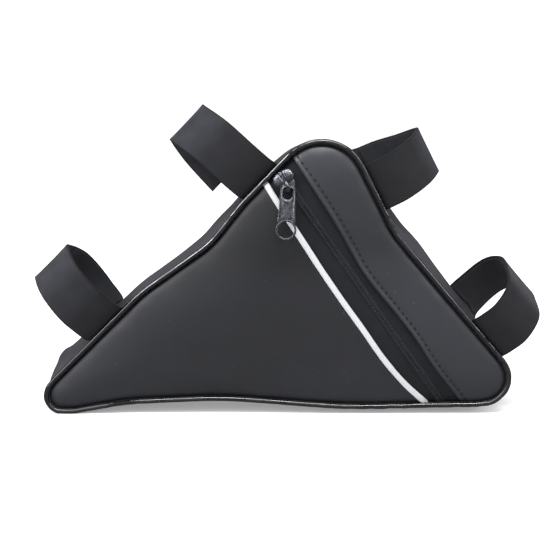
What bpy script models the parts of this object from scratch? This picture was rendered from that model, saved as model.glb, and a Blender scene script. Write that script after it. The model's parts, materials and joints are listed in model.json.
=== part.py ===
"""A triangular bag for a bicycle frame, standing on its long edge.

The front faces -Y and the floor is z = 0. The front and back outlines are one polygon with
rounded corners, edged with piping and joined by a side wall. The bag is hollow.
Sizes are in metres, and each table gives its places as shares of the sizes named beside it.
"""

import math

import bmesh
import bpy
import numpy as np
from mathutils import Matrix, Vector

MM = 0.001

# Bag
PANEL_WIDTH = 351 * MM
PANEL_HEIGHT = 206 * MM
BAG_DEPTH = 55 * MM
BAG_MIDDLE_Y = 6 * MM
FRONT_PUFF = 9 * MM
BACK_PUFF = 6 * MM
PUFF_REACH = 48 * MM
BACK_TUCK = 6 * MM
PIPING_DIAMETER = 3.8 * MM
PANEL_WALL = 1.6 * MM
GUSSET_WALL = 1.8 * MM
PIECE_GAP = 0.3 * MM
SEAM_GAP = 0.45 * MM

# Zip
ZIP_ZONE_WIDTH = 28 * MM
TAPE_WALL = 1.0 * MM
TAPE_TUCK = 2.2 * MM
COIL_WIDTH = 5.6 * MM
COIL_HEIGHT = 2.0 * MM
STRIPE_WIDTH = 4.4 * MM
STRIPE_HEIGHT = 2.6 * MM
LAYER_GAP = 0.6 * MM
FOLD_DROP = 0.8 * MM
CHANNEL_GAP = 0.8 * MM
STRIPE_GAP = 0.8 * MM
SLIDER_LENGTH = 16 * MM
SLIDER_WIDTH = 12.4 * MM
SLIDER_NARROW_END = 0.86
SLIDER_TOP_PLATE = 1.8 * MM
SLIDER_FROM_TOP = 13 * MM
BRIDGE_DIAMETER = 1.8 * MM
BRIDGE_SPAN = 7.2 * MM
PULL_PIN_FROM_SLIDER = 4 * MM
PULL_PIN_DIAMETER = 1.4 * MM
PULL_LENGTH = 40 * MM
PULL_WIDTH = 11.2 * MM
PULL_THICKNESS = 1.4 * MM
PULL_RING_DIAMETER = 15 * MM
PULL_RING_HOLE = 12.8 * MM
PULL_EYE_WIDTH = 7.6 * MM
PULL_EYE_HEIGHT = 9 * MM
PULL_EYE_POWER = 0.7
PULL_CLEARANCE = 0.7 * MM
PULL_ASKEW = math.radians(-3)

# Straps
STRAP_WIDTH = 36 * MM
STRAP_THICKNESS = 1.8 * MM
STRAP_REST_GAP = 0.57 * MM
STRAP_SEWN_SHARE = 0.3
STRAP_ROWS_PER_STEP = 3
STRAP_COLUMNS = 4

# Facets
STATION_LENGTH = 16 * MM
STATION_TURN = math.radians(17)
NORMAL_STEP = 1.5 * MM
SEARCH_STEP = 0.2 * MM
PIPING_BEVEL_RESOLUTION = 1

# Corners of the outline, before they are rounded: across is a share of PANEL_WIDTH from the
# bag's middle, up a share of PANEL_HEIGHT from the floor, and round a share of PANEL_WIDTH.
OUTLINE_CORNERS = {
    "lower_left": {"across": -0.592, "up": -0.034, "round": 0.040},
    "left_swell": {"across": -0.306, "up": 0.452, "round": 0.200},
    "left_dip": {"across": -0.160, "up": 0.629, "round": 0.114},
    "left_shoulder": {"across": -0.091, "up": 0.777, "round": 0.170},
    "apex": {"across": 0.094, "up": 1.117, "round": 0.104},
    "right_dip": {"across": 0.228, "up": 0.665, "round": 0.085},
    "right_swell": {"across": 0.325, "up": 0.470, "round": 0.300},
    "lower_right": {"across": 0.542, "up": 0.040, "round": 0.057},
    "bottom_rise": {"across": 0.128, "up": 0.025, "round": 0.800},
    "bottom_crest": {"across": -0.137, "up": 0.060, "round": 0.800},
    "bottom_knee": {"across": -0.342, "up": 0.045, "round": 0.500},
}

# How far the side wall swells past the piping, as a share of BAG_DEPTH: at each corner of the
# outline, then a quarter, half and three quarters of the way from it to the next corner.
# Where the floor is nearer than that, the wall lies flat on it.
GUSSET_SWELL = {
    "lower_left": {"corner": 0.000, "quarter": 0.130, "half": 0.110, "three_quarters": 0.085},
    "left_swell": {"corner": 0.070, "quarter": 0.070, "half": 0.075, "three_quarters": 0.080},
    "left_dip": {"corner": 0.085, "quarter": 0.090, "half": 0.095, "three_quarters": 0.095},
    "left_shoulder": {"corner": 0.090, "quarter": 0.085, "half": 0.080, "three_quarters": 0.050},
    "apex": {"corner": 0.010, "quarter": 0.020, "half": 0.050, "three_quarters": 0.090},
    "right_dip": {"corner": 0.145, "quarter": 0.160, "half": 0.155, "three_quarters": 0.135},
    "right_swell": {"corner": 0.115, "quarter": 0.090, "half": 0.060, "three_quarters": 0.030},
    "lower_right": {"corner": 0.010, "quarter": 0.130, "half": 0.155, "three_quarters": 0.155},
    "bottom_rise": {"corner": 0.150, "quarter": 0.120, "half": 0.100, "three_quarters": 0.095},
    "bottom_crest": {"corner": 0.090, "quarter": 0.095, "half": 0.100, "three_quarters": 0.105},
    "bottom_knee": {"corner": 0.105, "quarter": 0.100, "half": 0.090, "three_quarters": 0.050},
}

# The place on the back panel that its rows of faces close in on.
BACK_MIDDLE = {"across": 0.04, "up": 0.34}

# The zip's straight axis, from its top to its bottom end.
ZIP_TOP = {"across": -0.0185, "up": 0.913}
ZIP_BOTTOM = {"across": 0.328, "up": 0.048}

# The lines beside the zip's axis: along is a share of the axis, and the others are shares of
# ZIP_ZONE_WIDTH, positive to the upper right.
ZIP_LINES = [
    {"along": -0.15, "stripe": -0.46, "coil": -0.10, "fold": 0.42},
    {"along": 0.00, "stripe": -0.51, "coil": -0.07, "fold": 0.40},
    {"along": 0.25, "stripe": -0.59, "coil": -0.02, "fold": 0.37},
    {"along": 0.50, "stripe": -0.60, "coil": 0.00, "fold": 0.29},
    {"along": 0.75, "stripe": -0.55, "coil": 0.02, "fold": 0.40},
    {"along": 1.00, "stripe": -0.28, "coil": 0.07, "fold": 0.51},
    {"along": 1.15, "stripe": -0.16, "coil": 0.10, "fold": 0.58},
]

# The side wall's rise from a seam to its middle: 2 is a round arc, and more is squarer.
SWELL_POWER = 2.4

# Each strap's centre line: out is a share of its reach, depth a share of half BAG_DEPTH from
# the bag's middle, and slide a share of STRAP_WIDTH, positive towards the apex.
STRAPS = {
    "strap_upper_left": {
        "side": "left",
        "height": 0.850,
        "reach": 67 * MM,
        "path": [
            {"out": 0.00, "depth": -0.84, "slide": 0.00},
            {"out": 0.30, "depth": -1.05, "slide": -0.03},
            {"out": 0.70, "depth": -0.86, "slide": -0.06},
            {"out": 0.96, "depth": -0.32, "slide": -0.15},
            {"out": 0.98, "depth": -0.08, "slide": -0.18},
            {"out": 0.70, "depth": 0.27, "slide": -0.26},
            {"out": 0.28, "depth": 0.46, "slide": -0.34},
        ],
    },
    "strap_upper_left_catch": {
        "side": "left",
        "height": 0.850,
        "reach": 67 * MM,
        "path": [
            {"out": 0.00, "depth": 0.84, "slide": -0.26},
            {"out": 0.12, "depth": 0.68, "slide": -0.26},
            {"out": 0.26, "depth": 0.36, "slide": -0.26},
            {"out": 0.48, "depth": 0.27, "slide": -0.26},
            {"out": 0.72, "depth": 0.13, "slide": -0.26},
        ],
    },
    "strap_lower_left": {
        "side": "left",
        "height": 0.330,
        "reach": 60 * MM,
        "path": [
            {"out": 0.00, "depth": -0.84, "slide": 0.00},
            {"out": 0.38, "depth": -1.20, "slide": 0.00},
            {"out": 0.76, "depth": -0.85, "slide": -0.02},
            {"out": 0.98, "depth": -0.14, "slide": -0.02},
            {"out": 0.98, "depth": 0.12, "slide": -0.01},
            {"out": 0.76, "depth": 0.84, "slide": 0.02},
            {"out": 0.38, "depth": 1.18, "slide": 0.00},
            {"out": 0.00, "depth": 0.84, "slide": -0.10},
        ],
    },
    "strap_upper_right": {
        "side": "right",
        "height": 0.825,
        "reach": 46 * MM,
        "path": [
            {"out": 0.00, "depth": -0.84, "slide": 0.00},
            {"out": 0.40, "depth": -0.98, "slide": 0.01},
            {"out": 0.80, "depth": -0.55, "slide": 0.04},
            {"out": 0.99, "depth": -0.09, "slide": 0.09},
            {"out": 0.98, "depth": 0.12, "slide": 0.11},
            {"out": 0.70, "depth": 0.44, "slide": 0.16},
            {"out": 0.34, "depth": 0.72, "slide": 0.22},
            {"out": 0.00, "depth": 0.84, "slide": 0.26},
        ],
    },
    "strap_lower_right": {
        "side": "right",
        "height": 0.280,
        "reach": 46 * MM,
        "path": [
            {"out": 0.00, "depth": -0.84, "slide": -0.04},
            {"out": 0.46, "depth": -1.15, "slide": -0.03},
            {"out": 0.86, "depth": -0.80, "slide": 0.04},
            {"out": 1.02, "depth": -0.10, "slide": 0.15},
            {"out": 0.97, "depth": 0.55, "slide": 0.30},
            {"out": 0.64, "depth": 1.05, "slide": 0.44},
            {"out": 0.28, "depth": 1.08, "slide": 0.50},
            {"out": 0.00, "depth": 0.84, "slide": 0.52},
        ],
    },
}

# Finishes: colour is linear red, green and blue.
FINISHES = {
    "panel_leather": {"colour": (0.045, 0.046, 0.053), "roughness": 0.55, "metallic": 0.0},
    "gloss_piping": {"colour": (0.008, 0.008, 0.009), "roughness": 0.18, "metallic": 0.0},
    "gusset_leather": {"colour": (0.060, 0.060, 0.066), "roughness": 0.60, "metallic": 0.0},
    "zip_cloth": {"colour": (0.022, 0.022, 0.027), "roughness": 0.85, "metallic": 0.0},
    "zip_coil": {"colour": (0.018, 0.018, 0.021), "roughness": 0.45, "metallic": 0.0},
    "gunmetal": {"colour": (0.110, 0.110, 0.120), "roughness": 0.30, "metallic": 0.9},
    "reflective": {"colour": (0.800, 0.800, 0.810), "roughness": 0.40, "metallic": 0.0},
    "strap_weave": {"colour": (0.030, 0.030, 0.034), "roughness": 0.80, "metallic": 0.0},
}

HALF_DEPTH = BAG_DEPTH / 2
PIPING_RADIUS = PIPING_DIAMETER / 2
PANEL_INSET = PIPING_RADIUS + SEAM_GAP
TAPE_LEVEL = -(PANEL_WALL + LAYER_GAP)
COIL_BOTTOM_LEVEL = TAPE_LEVEL + SEAM_GAP
COIL_TOP_LEVEL = COIL_BOTTOM_LEVEL + COIL_HEIGHT
STRIPE_BOTTOM_LEVEL = TAPE_LEVEL + SEAM_GAP
PLATE_LEVEL = COIL_TOP_LEVEL + CHANNEL_GAP


def clear_scene():
    for each in list(bpy.data.objects):
        bpy.data.objects.remove(each, do_unlink=True)


def new_collection(name):
    made = bpy.data.collections.new(name)
    bpy.context.scene.collection.children.link(made)
    return made


def new_material(name):
    finish = FINISHES[name]
    made = bpy.data.materials.new(name)
    made.use_nodes = True
    shader = made.node_tree.nodes["Principled BSDF"]
    shader.inputs["Base Color"].default_value = (*finish["colour"], 1.0)
    shader.inputs["Roughness"].default_value = finish["roughness"]
    shader.inputs["Metallic"].default_value = finish["metallic"]
    made.diffuse_color = (*finish["colour"], 1.0)
    return made


def unit(vectors):
    return vectors / np.linalg.norm(vectors, axis=-1, keepdims=True)


def smooth_curve(rows, steps):
    """Points on a Catmull-Rom curve through the rows, steps of them to each stretch."""
    rows = np.asarray(rows, float)
    padded = np.vstack([2 * rows[0] - rows[1], rows, 2 * rows[-1] - rows[-2]])
    t = np.linspace(0, 1, steps, endpoint=False)[:, None]
    stretches = []
    for a, b, c, d in zip(padded[:-3], padded[1:-2], padded[2:-1], padded[3:]):
        linear = c - a
        square = 2 * a - 5 * b + 4 * c - d
        cube = 3 * (b - c) + d - a
        stretches.append(b + 0.5 * (linear * t + square * t**2 + cube * t**3))
    return np.vstack([*stretches, rows[-1:]])


def rounded_polygon(corners, radii):
    """A closed line through the polygon's sides, with an arc at each corner, every 3 degrees."""
    points = []
    marks = []
    count = len(corners)
    for i, (corner, radius) in enumerate(zip(corners, radii)):
        to_last = corners[i - 1] - corner
        to_next = corners[(i + 1) % count] - corner
        room = 0.48 * min(np.linalg.norm(to_last), np.linalg.norm(to_next))
        to_last = unit(to_last)
        to_next = unit(to_next)
        half = math.acos(np.clip(to_last @ to_next, -1, 1)) / 2
        tangent = min(radius / math.tan(half), room)
        radius = tangent * math.tan(half)
        middle = corner + unit(to_last + to_next) * radius / math.sin(half)
        start = corner + to_last * tangent - middle
        end = corner + to_next * tangent - middle
        turn = math.pi - 2 * half
        steps = max(2, math.ceil(turn / math.radians(3)))
        share = np.linspace(0, 1, steps + 1)[:, None]
        arc = (np.sin((1 - share) * turn) * start + np.sin(share * turn) * end) / math.sin(turn)
        marks.append(len(points) + steps // 2)
        points.extend(middle + arc)
    return np.array(points), marks


class Outline:
    """The closed line of the front piping's centre, in the bag's plane (x, z)."""

    def __init__(self):
        rows = OUTLINE_CORNERS.values()
        corners = [[row["across"] * PANEL_WIDTH, row["up"] * PANEL_HEIGHT] for row in rows]
        radii = [row["round"] * PANEL_WIDTH for row in rows]
        fine, marks = rounded_polygon(np.array(corners), radii)
        fine[:, 1] = np.maximum(fine[:, 1], PIPING_RADIUS)
        closed = np.vstack([fine, fine[:1]])
        self.fine = closed
        steps = np.linalg.norm(np.diff(closed, axis=0), axis=1)
        self.lengths = np.concatenate([[0], np.cumsum(steps)])
        self.total = self.lengths[-1]
        self.corner_at = dict(zip(OUTLINE_CORNERS, self.lengths[marks]))

    def point(self, length):
        length = np.asarray(length) % self.total
        return np.stack([np.interp(length, self.lengths, self.fine[:, k]) for k in (0, 1)], axis=-1)

    def outward(self, length):
        """The unit normal that points out of the bag."""
        along = unit(self.point(length + NORMAL_STEP) - self.point(length - NORMAL_STEP))
        return np.stack([-along[..., 1], along[..., 0]], axis=-1)

    def stations(self):
        """Lengths round the outline, closer together where it turns."""
        steps = np.diff(self.fine, axis=0)
        headings = np.unwrap(np.arctan2(steps[:, 1], steps[:, 0]))
        turns = np.abs(np.diff(np.concatenate([headings, headings[:1] - 2 * math.pi])))
        cost = np.linalg.norm(steps, axis=1) / STATION_LENGTH + turns / STATION_TURN
        total = np.concatenate([[0], np.cumsum(cost)])
        count = round(total[-1])
        return np.interp(np.arange(count) * total[-1] / count, total, self.lengths)

    def inside(self, points):
        """How far inside the outline each point lies: negative outside it."""
        flat = np.asarray(points, float).reshape(-1, 1, 2)
        a = self.fine[:-1]
        b = self.fine[1:]
        side = b - a
        share = np.clip(((flat - a) * side).sum(-1) / (side * side).sum(-1), 0, 1)
        near = np.linalg.norm(flat - a - share[..., None] * side, axis=-1).min(1)
        rises = (a[:, 1] > flat[..., 1]) != (b[:, 1] > flat[..., 1])
        height = np.where(side[:, 1] == 0, 1, side[:, 1])
        crossing = a[:, 0] + (flat[..., 1] - a[:, 1]) * side[:, 0] / height
        odd = (rises & (flat[..., 0] < crossing)).sum(1) % 2 == 1
        return np.where(odd, near, -near).reshape(np.shape(points)[:-1])

    def swell(self, length):
        """The side wall's swell past the piping at each length round the outline."""
        names = list(OUTLINE_CORNERS)
        places = []
        swells = []
        for name, following in zip(names, names[1:] + names[:1]):
            here = self.corner_at[name]
            there = self.corner_at[following]
            if there < here:
                there += self.total
            row = GUSSET_SWELL[name].values()
            places += [here + (there - here) * k / len(row) for k in range(len(row))]
            swells += [share * BAG_DEPTH for share in row]
        return np.interp(np.asarray(length) % self.total, places, swells, period=self.total)


OUTLINE = Outline()


def tuck(points):
    """The back outline from the front one: drawn down by up to BACK_TUCK towards the apex."""
    height = np.clip(points[..., 1] / PANEL_HEIGHT, 0, 1)
    lowered = points.copy()
    lowered[..., 1] -= BACK_TUCK * height**2
    return lowered


def side_wall_point(length, share):
    """A point on the side wall's outer face: share is 0 at the front seam and 1 at the back."""
    length, share = np.broadcast_arrays(length, share)
    front = OUTLINE.point(length)
    middle = front + (tuck(front) - front) * share[..., None]
    rise = 1 - np.abs(2 * share - 1) ** SWELL_POWER
    place = middle + OUTLINE.outward(length) * (OUTLINE.swell(length) * rise)[..., None]
    half_wall = HALF_DEPTH - PIPING_RADIUS - SEAM_GAP
    depth = BAG_MIDDLE_Y + half_wall * (2 * share - 1)
    return np.stack([place[..., 0], depth, np.maximum(place[..., 1], 0)], axis=-1)


def puff(points, full):
    """How far a panel stands proud of its seam: a parabola over PUFF_REACH from the edge."""
    share = np.clip((OUTLINE.inside(points) - PANEL_INSET) / PUFF_REACH, 0, 1)
    return full * (1 - (1 - share) ** 2)


def front_skin(points, level=0.0):
    """The front's place at each (x, z), raised from the panels' outer face by level."""
    y = BAG_MIDDLE_Y - HALF_DEPTH - PANEL_WALL / 2 - puff(points, FRONT_PUFF) - level
    return np.stack([points[..., 0], y, points[..., 1]], axis=-1)


class ZipAxis:
    """The zip's straight axis, with the curved lines beside it."""

    def __init__(self):
        self.top = np.array([ZIP_TOP["across"] * PANEL_WIDTH, ZIP_TOP["up"] * PANEL_HEIGHT])
        bottom = np.array([ZIP_BOTTOM["across"] * PANEL_WIDTH, ZIP_BOTTOM["up"] * PANEL_HEIGHT])
        self.length = np.linalg.norm(bottom - self.top)
        self.down = (bottom - self.top) / self.length
        self.across = np.array([-self.down[1], self.down[0]])

    def line(self, name, beside=0.0):
        """The named line as points inside the panels' edge, moved beside itself."""
        rows = [[row["along"], row[name]] for row in ZIP_LINES]
        fine = smooth_curve(rows, 40)
        places = self.top + fine[:, :1] * self.length * self.down
        places = places + (fine[:, 1:] * ZIP_ZONE_WIDTH + beside) * self.across
        return clipped(places)

    def point(self, name, from_top):
        """The point of a line at a distance down the axis."""
        rows = np.array([[row["along"], row[name]] for row in ZIP_LINES])
        share = np.interp(from_top / self.length, rows[:, 0], rows[:, 1])
        return self.top + from_top * self.down + share * ZIP_ZONE_WIDTH * self.across


def clipped(line):
    """The stretch of a line that lies inside the panels' edge."""
    depth = OUTLINE.inside(line) - PANEL_INSET
    inside = np.flatnonzero(depth > 0)
    first, last = inside[0], inside[-1]
    before = depth[first] / (depth[first] - depth[first - 1])
    after = depth[last] / (depth[last] - depth[last + 1])
    start = line[first] - (line[first] - line[first - 1]) * before
    end = line[last] + (line[last + 1] - line[last]) * after
    return np.vstack([start, line[first : last + 1], end])


def resampled(line, count):
    """The line as evenly spaced points."""
    steps = np.concatenate([[0], np.cumsum(np.linalg.norm(np.diff(line, axis=0), axis=1))])
    places = np.linspace(0, steps[-1], count)
    return np.stack([np.interp(places, steps, line[:, k]) for k in range(line.shape[1])], axis=-1)


def nearest_length(point):
    """The length round the outline at which it passes closest to a point."""
    places = np.arange(0, OUTLINE.total, SEARCH_STEP)
    gaps = np.linalg.norm(OUTLINE.point(places) - point, axis=-1)
    return places[gaps.argmin()]


def inner_edge(start, end, count, clockwise):
    """Points of the panels' edge from near one point to near another, one way round."""
    first = nearest_length(start)
    last = nearest_length(end)
    if clockwise and last < first:
        last += OUTLINE.total
    if not clockwise and last > first:
        last -= OUTLINE.total
    lengths = np.linspace(first, last, 600)
    line = OUTLINE.point(lengths) - OUTLINE.outward(lengths) * PANEL_INSET
    line[0] = start
    line[-1] = end
    return resampled(line, count)


ZIP = ZipAxis()


def mesh_object(name, points, faces, collection, material):
    mesh = bpy.data.meshes.new(name)
    mesh.from_pydata(np.asarray(points).tolist(), [], faces)
    mesh.materials.append(material)
    made = bpy.data.objects.new(name, mesh)
    collection.objects.link(made)
    return made


def grid_faces(rows, columns, closed_rows=False, closed_columns=False):
    faces = []
    for i in range(rows if closed_rows else rows - 1):
        for j in range(columns if closed_columns else columns - 1):
            k = (i + 1) % rows
            m = (j + 1) % columns
            faces.append((i * columns + j, i * columns + m, k * columns + m, k * columns + j))
    return faces


def tidy_mesh(target, flipped=False, smooth_angle=40):
    """Joins points that lie on each other and shades the faces smooth between sharp edges."""
    work = bmesh.new()
    work.from_mesh(target.data)
    bmesh.ops.remove_doubles(work, verts=work.verts, dist=0.01 * MM)
    if flipped:
        bmesh.ops.reverse_faces(work, faces=work.faces)
    work.to_mesh(target.data)
    work.free()
    target.data.shade_smooth()
    target.data.set_sharp_from_angle(angle=math.radians(smooth_angle))


def sheet(name, grid, wall, collection, material, flipped=False, closed_rows=False, centred=False):
    """A sheet whose outer face is the grid, or whose middle is it, with its wall inwards."""
    rows, columns = grid.shape[:2]
    faces = grid_faces(rows, columns, closed_rows)
    made = mesh_object(name, grid.reshape(-1, 3), faces, collection, material)
    tidy_mesh(made, flipped)
    thick = made.modifiers.new("Wall", "SOLIDIFY")
    thick.thickness = wall
    thick.offset = 0 if centred else -1
    thick.use_even_offset = True
    return made


def build_piping(collection, material):
    lengths = OUTLINE.stations()
    front = OUTLINE.point(lengths)
    sides = {
        "front_piping": (front, BAG_MIDDLE_Y - HALF_DEPTH),
        "back_piping": (tuck(front), BAG_MIDDLE_Y + HALF_DEPTH),
    }
    for name, (line, depth) in sides.items():
        curve = bpy.data.curves.new(name, "CURVE")
        curve.dimensions = "3D"
        curve.bevel_depth = PIPING_RADIUS
        curve.bevel_resolution = PIPING_BEVEL_RESOLUTION
        spline = curve.splines.new("POLY")
        spline.points.add(len(line) - 1)
        for point, (x, z) in zip(spline.points, line):
            point.co = (x, depth, z, 1)
        spline.use_cyclic_u = True
        curve.materials.append(material)
        collection.objects.link(bpy.data.objects.new(name, curve))


def build_gusset(collection, material):
    lengths = OUTLINE.stations()
    shares = (1 - np.cos(np.linspace(0, math.pi, 7))) / 2
    grid = side_wall_point(lengths[:, None], shares[None, :])
    sheet("gusset", grid, GUSSET_WALL, collection, material, flipped=True, closed_rows=True)


def panel_grid(zip_edge, outline_edge, rows):
    """A grid between the zip's side and the panel's edge, closer together near the edge."""
    shares = np.sin(np.linspace(0, math.pi / 2, rows))[:, None, None]
    return zip_edge * (1 - shares) + outline_edge * shares


def build_front_lower(collection, material):
    beside = -(STRIPE_WIDTH / 2 + STRIPE_GAP)
    edge = ZIP.line("stripe", beside)
    count = 38
    around = inner_edge(edge[0], edge[-1], count, clockwise=False)
    grid = front_skin(panel_grid(resampled(edge, count), around, 8))
    sheet("front_panel_lower", grid, PANEL_WALL, collection, material, flipped=True)


def build_front_upper(collection, material):
    edge = ZIP.line("fold")
    count = 38
    around = inner_edge(edge[0], edge[-1], count, clockwise=True)
    edge = resampled(edge, count)
    grid = front_skin(panel_grid(edge, around, 6))
    turned = front_skin(edge, -FOLD_DROP / 2)
    turned[..., [0, 2]] -= ZIP.across * FOLD_DROP / 2
    turned[0] = grid[0, 0]
    turned[-1] = grid[0, -1]
    grid = np.concatenate([turned[None], grid])
    sheet("front_panel_upper", grid, PANEL_WALL, collection, material)


def strip_grid(lines, count, level):
    """Lines beside each other as one grid, each ending at the panels' edge."""
    return front_skin(np.stack([resampled(line, count) for line in lines]), level)


def build_zip_tapes(collection, material):
    tapes = {
        "zip_tape_lower": [
            ZIP.line("stripe", -STRIPE_WIDTH / 2 - TAPE_TUCK),
            ZIP.line("stripe", STRIPE_WIDTH / 2),
            ZIP.line("coil", -PIECE_GAP),
        ],
        "zip_tape_upper": [
            ZIP.line("coil", PIECE_GAP),
            ZIP.line("fold", -COIL_WIDTH / 2),
            ZIP.line("fold", TAPE_TUCK),
        ],
    }
    for name, lines in tapes.items():
        sheet(name, strip_grid(lines, 22, TAPE_LEVEL), TAPE_WALL, collection, material)


def bar_along_zip(name, line_name, profile, count, collection, material):
    """A long bar beside the zip: the profile is (beside, level) pairs, anticlockwise."""
    edges = []
    for beside, level in profile:
        edges.append(front_skin(resampled(ZIP.line(line_name, beside), count), level))
    grid = np.stack(edges, axis=1)
    sides = len(profile)
    faces = grid_faces(count, sides, closed_columns=True)
    faces.append(tuple(range(sides)))
    faces.append(tuple((count - 1) * sides + k for k in reversed(range(sides))))
    made = mesh_object(name, grid.reshape(-1, 3), faces, collection, material)
    tidy_mesh(made)
    work = bmesh.new()
    work.from_mesh(made.data)
    bmesh.ops.recalc_face_normals(work, faces=work.faces)
    work.to_mesh(made.data)
    work.free()
    return made


def rounded_profile(width, bottom, top):
    """A flat-bottomed bar's section with a domed top, as (beside, level) pairs."""
    half = width / 2
    crown = half * 0.5
    shoulder = bottom + (top - bottom) * 0.55
    left = [(-crown, top), (-half, shoulder), (-half, bottom)]
    right = [(-beside, level) for beside, level in reversed(left)]
    return left + right


def build_zip_bars(collection, coil_material, stripe_material):
    stripe = rounded_profile(STRIPE_WIDTH, STRIPE_BOTTOM_LEVEL, STRIPE_BOTTOM_LEVEL + STRIPE_HEIGHT)
    coil = rounded_profile(COIL_WIDTH, COIL_BOTTOM_LEVEL, COIL_TOP_LEVEL)
    bar_along_zip("reflective_stripe", "stripe", stripe, 26, collection, stripe_material)
    bar_along_zip("zip_coil", "coil", coil, 26, collection, coil_material)


def slider_frame():
    """The slider's place: x across the zip, y up along it and z outwards from the skin."""
    centre = ZIP.point("coil", SLIDER_FROM_TOP)
    step = SLIDER_LENGTH / 4
    here = front_skin(centre, PLATE_LEVEL)
    above = front_skin(centre - ZIP.down * step, PLATE_LEVEL)
    below = front_skin(centre + ZIP.down * step, PLATE_LEVEL)
    along = Vector(above - below).normalized()
    across = Vector((ZIP.across[0], 0, ZIP.across[1]))
    outward = across.cross(along).normalized()
    if outward.y > 0:
        outward.negate()
    across = along.cross(outward)
    frame = Matrix.Identity(4)
    for column, axis in enumerate((across, along, outward, Vector(here))):
        for row in range(3):
            frame[row][column] = axis[row]
    return frame


def box_object(name, low, high, collection, material=None):
    mesh = bpy.data.meshes.new(name)
    work = bmesh.new()
    bmesh.ops.create_cube(work, size=1)
    size = [b - a for a, b in zip(low, high)]
    middle = [(a + b) / 2 for a, b in zip(low, high)]
    bmesh.ops.scale(work, vec=size, verts=work.verts)
    bmesh.ops.translate(work, vec=middle, verts=work.verts)
    work.to_mesh(mesh)
    work.free()
    if material:
        mesh.materials.append(material)
    made = bpy.data.objects.new(name, mesh)
    collection.objects.link(made)
    return made


def mesh_from_curve(curve_object, name, collection):
    """The curve's solid as a mesh object in its place, with its caps welded on."""
    graph = bpy.context.evaluated_depsgraph_get()
    mesh = bpy.data.meshes.new_from_object(curve_object.evaluated_get(graph))
    work = bmesh.new()
    work.from_mesh(mesh)
    bmesh.ops.remove_doubles(work, verts=work.verts, dist=0.001 * MM)
    bmesh.ops.recalc_face_normals(work, faces=work.faces)
    work.to_mesh(mesh)
    work.free()
    made = bpy.data.objects.new(name, mesh)
    made.matrix_world = curve_object.matrix_world
    collection.objects.link(made)
    bpy.data.objects.remove(curve_object, do_unlink=True)
    return made


def as_cutter(target):
    target.hide_render = True
    target.display_type = "WIRE"
    return target


def combine(target, other, operation):
    joint = target.modifiers.new(operation.title(), "BOOLEAN")
    joint.operation = operation
    joint.solver = "EXACT"
    joint.object = other


def build_slider(collection, cutters, material):
    """The slider's plate and sides over the coil, with the bridge that holds the pull's bar."""
    frame = slider_frame()
    half_width = SLIDER_WIDTH / 2
    half_length = SLIDER_LENGTH / 2
    skirt = PLATE_LEVEL - (TAPE_LEVEL + CHANNEL_GAP)
    low = (-half_width, -half_length, -skirt)
    high = (half_width, half_length, SLIDER_TOP_PLATE)
    body = box_object("zip_slider", low, high, collection, material)
    for vertex in body.data.vertices:
        if vertex.co.y < 0:
            vertex.co.x *= SLIDER_NARROW_END
    body.matrix_world = frame
    rounding = body.modifiers.new("Rounding", "BEVEL")
    rounding.width = SLIDER_TOP_PLATE * 0.9
    rounding.segments = 2
    half_channel = COIL_WIDTH / 2 + CHANNEL_GAP
    low = (-half_channel, -SLIDER_LENGTH, -2 * skirt)
    high = (half_channel, SLIDER_LENGTH, 0)
    channel = box_object("slider_channel", low, high, cutters)
    channel.matrix_world = frame
    combine(body, as_cutter(channel), "DIFFERENCE")
    curve = bpy.data.curves.new("bridge", "CURVE")
    curve.dimensions = "3D"
    curve.bevel_depth = BRIDGE_DIAMETER / 2
    curve.bevel_resolution = 2
    curve.use_fill_caps = True
    top = SLIDER_TOP_PLATE + PULL_PIN_DIAMETER + 2 * PULL_CLEARANCE + BRIDGE_DIAMETER / 2
    half_arch = [(1, 0.4 * SLIDER_TOP_PLATE), (0.98, 0.55 * top), (0.6, top)]
    arch = half_arch + [(-along, height) for along, height in reversed(half_arch)]
    middle = -PULL_PIN_FROM_SLIDER
    points = [(0, middle + along * BRIDGE_SPAN / 2, height) for along, height in arch]
    points = smooth_curve(points, 2)
    spline = curve.splines.new("POLY")
    spline.points.add(len(points) - 1)
    for point, place in zip(spline.points, points):
        point.co = (*place, 1)
    bridge = bpy.data.objects.new("bridge_curve", curve)
    cutters.objects.link(bridge)
    bridge.matrix_world = frame
    bpy.context.view_layer.update()
    combine(body, as_cutter(mesh_from_curve(bridge, "bridge", cutters)), "UNION")


def pull_frame():
    """The pull's place: x along its hinge, y up the hanging pull and z outwards.

    The pull hangs down over the slider and leans out until it clears what is below it."""
    slider = slider_frame()
    outward = slider.col[2].xyz
    height = SLIDER_TOP_PLATE + PULL_CLEARANCE + PULL_PIN_DIAMETER / 2
    pin = slider @ Vector((0, -PULL_PIN_FROM_SLIDER, height))
    axis = (Vector((1, 0, 0)) - outward * outward.x).normalized()
    flat = Matrix((axis, outward.cross(axis), outward)).transposed().to_4x4()
    flat = flat @ Matrix.Rotation(PULL_ASKEW, 4, "Z")
    half_ring = PULL_RING_DIAMETER / 2
    needed = PULL_THICKNESS / 2 + PULL_CLEARANCE
    below = STRIPE_BOTTOM_LEVEL + STRIPE_HEIGHT
    for lean in np.radians(np.arange(0, 45, 0.5)):
        frame = Matrix.Translation(pin) @ flat @ Matrix.Rotation(-lean, 4, "X")
        places = []
        for drop in np.linspace(0.35, 1, 12) * PULL_LENGTH:
            for side in (-half_ring, 0, half_ring):
                places.append(frame @ Vector((side, -drop, 0)))
        places = np.array(places)
        if (places[:, 1] < front_skin(places[:, [0, 2]], below)[:, 1] - needed).all():
            break
    return frame


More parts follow.
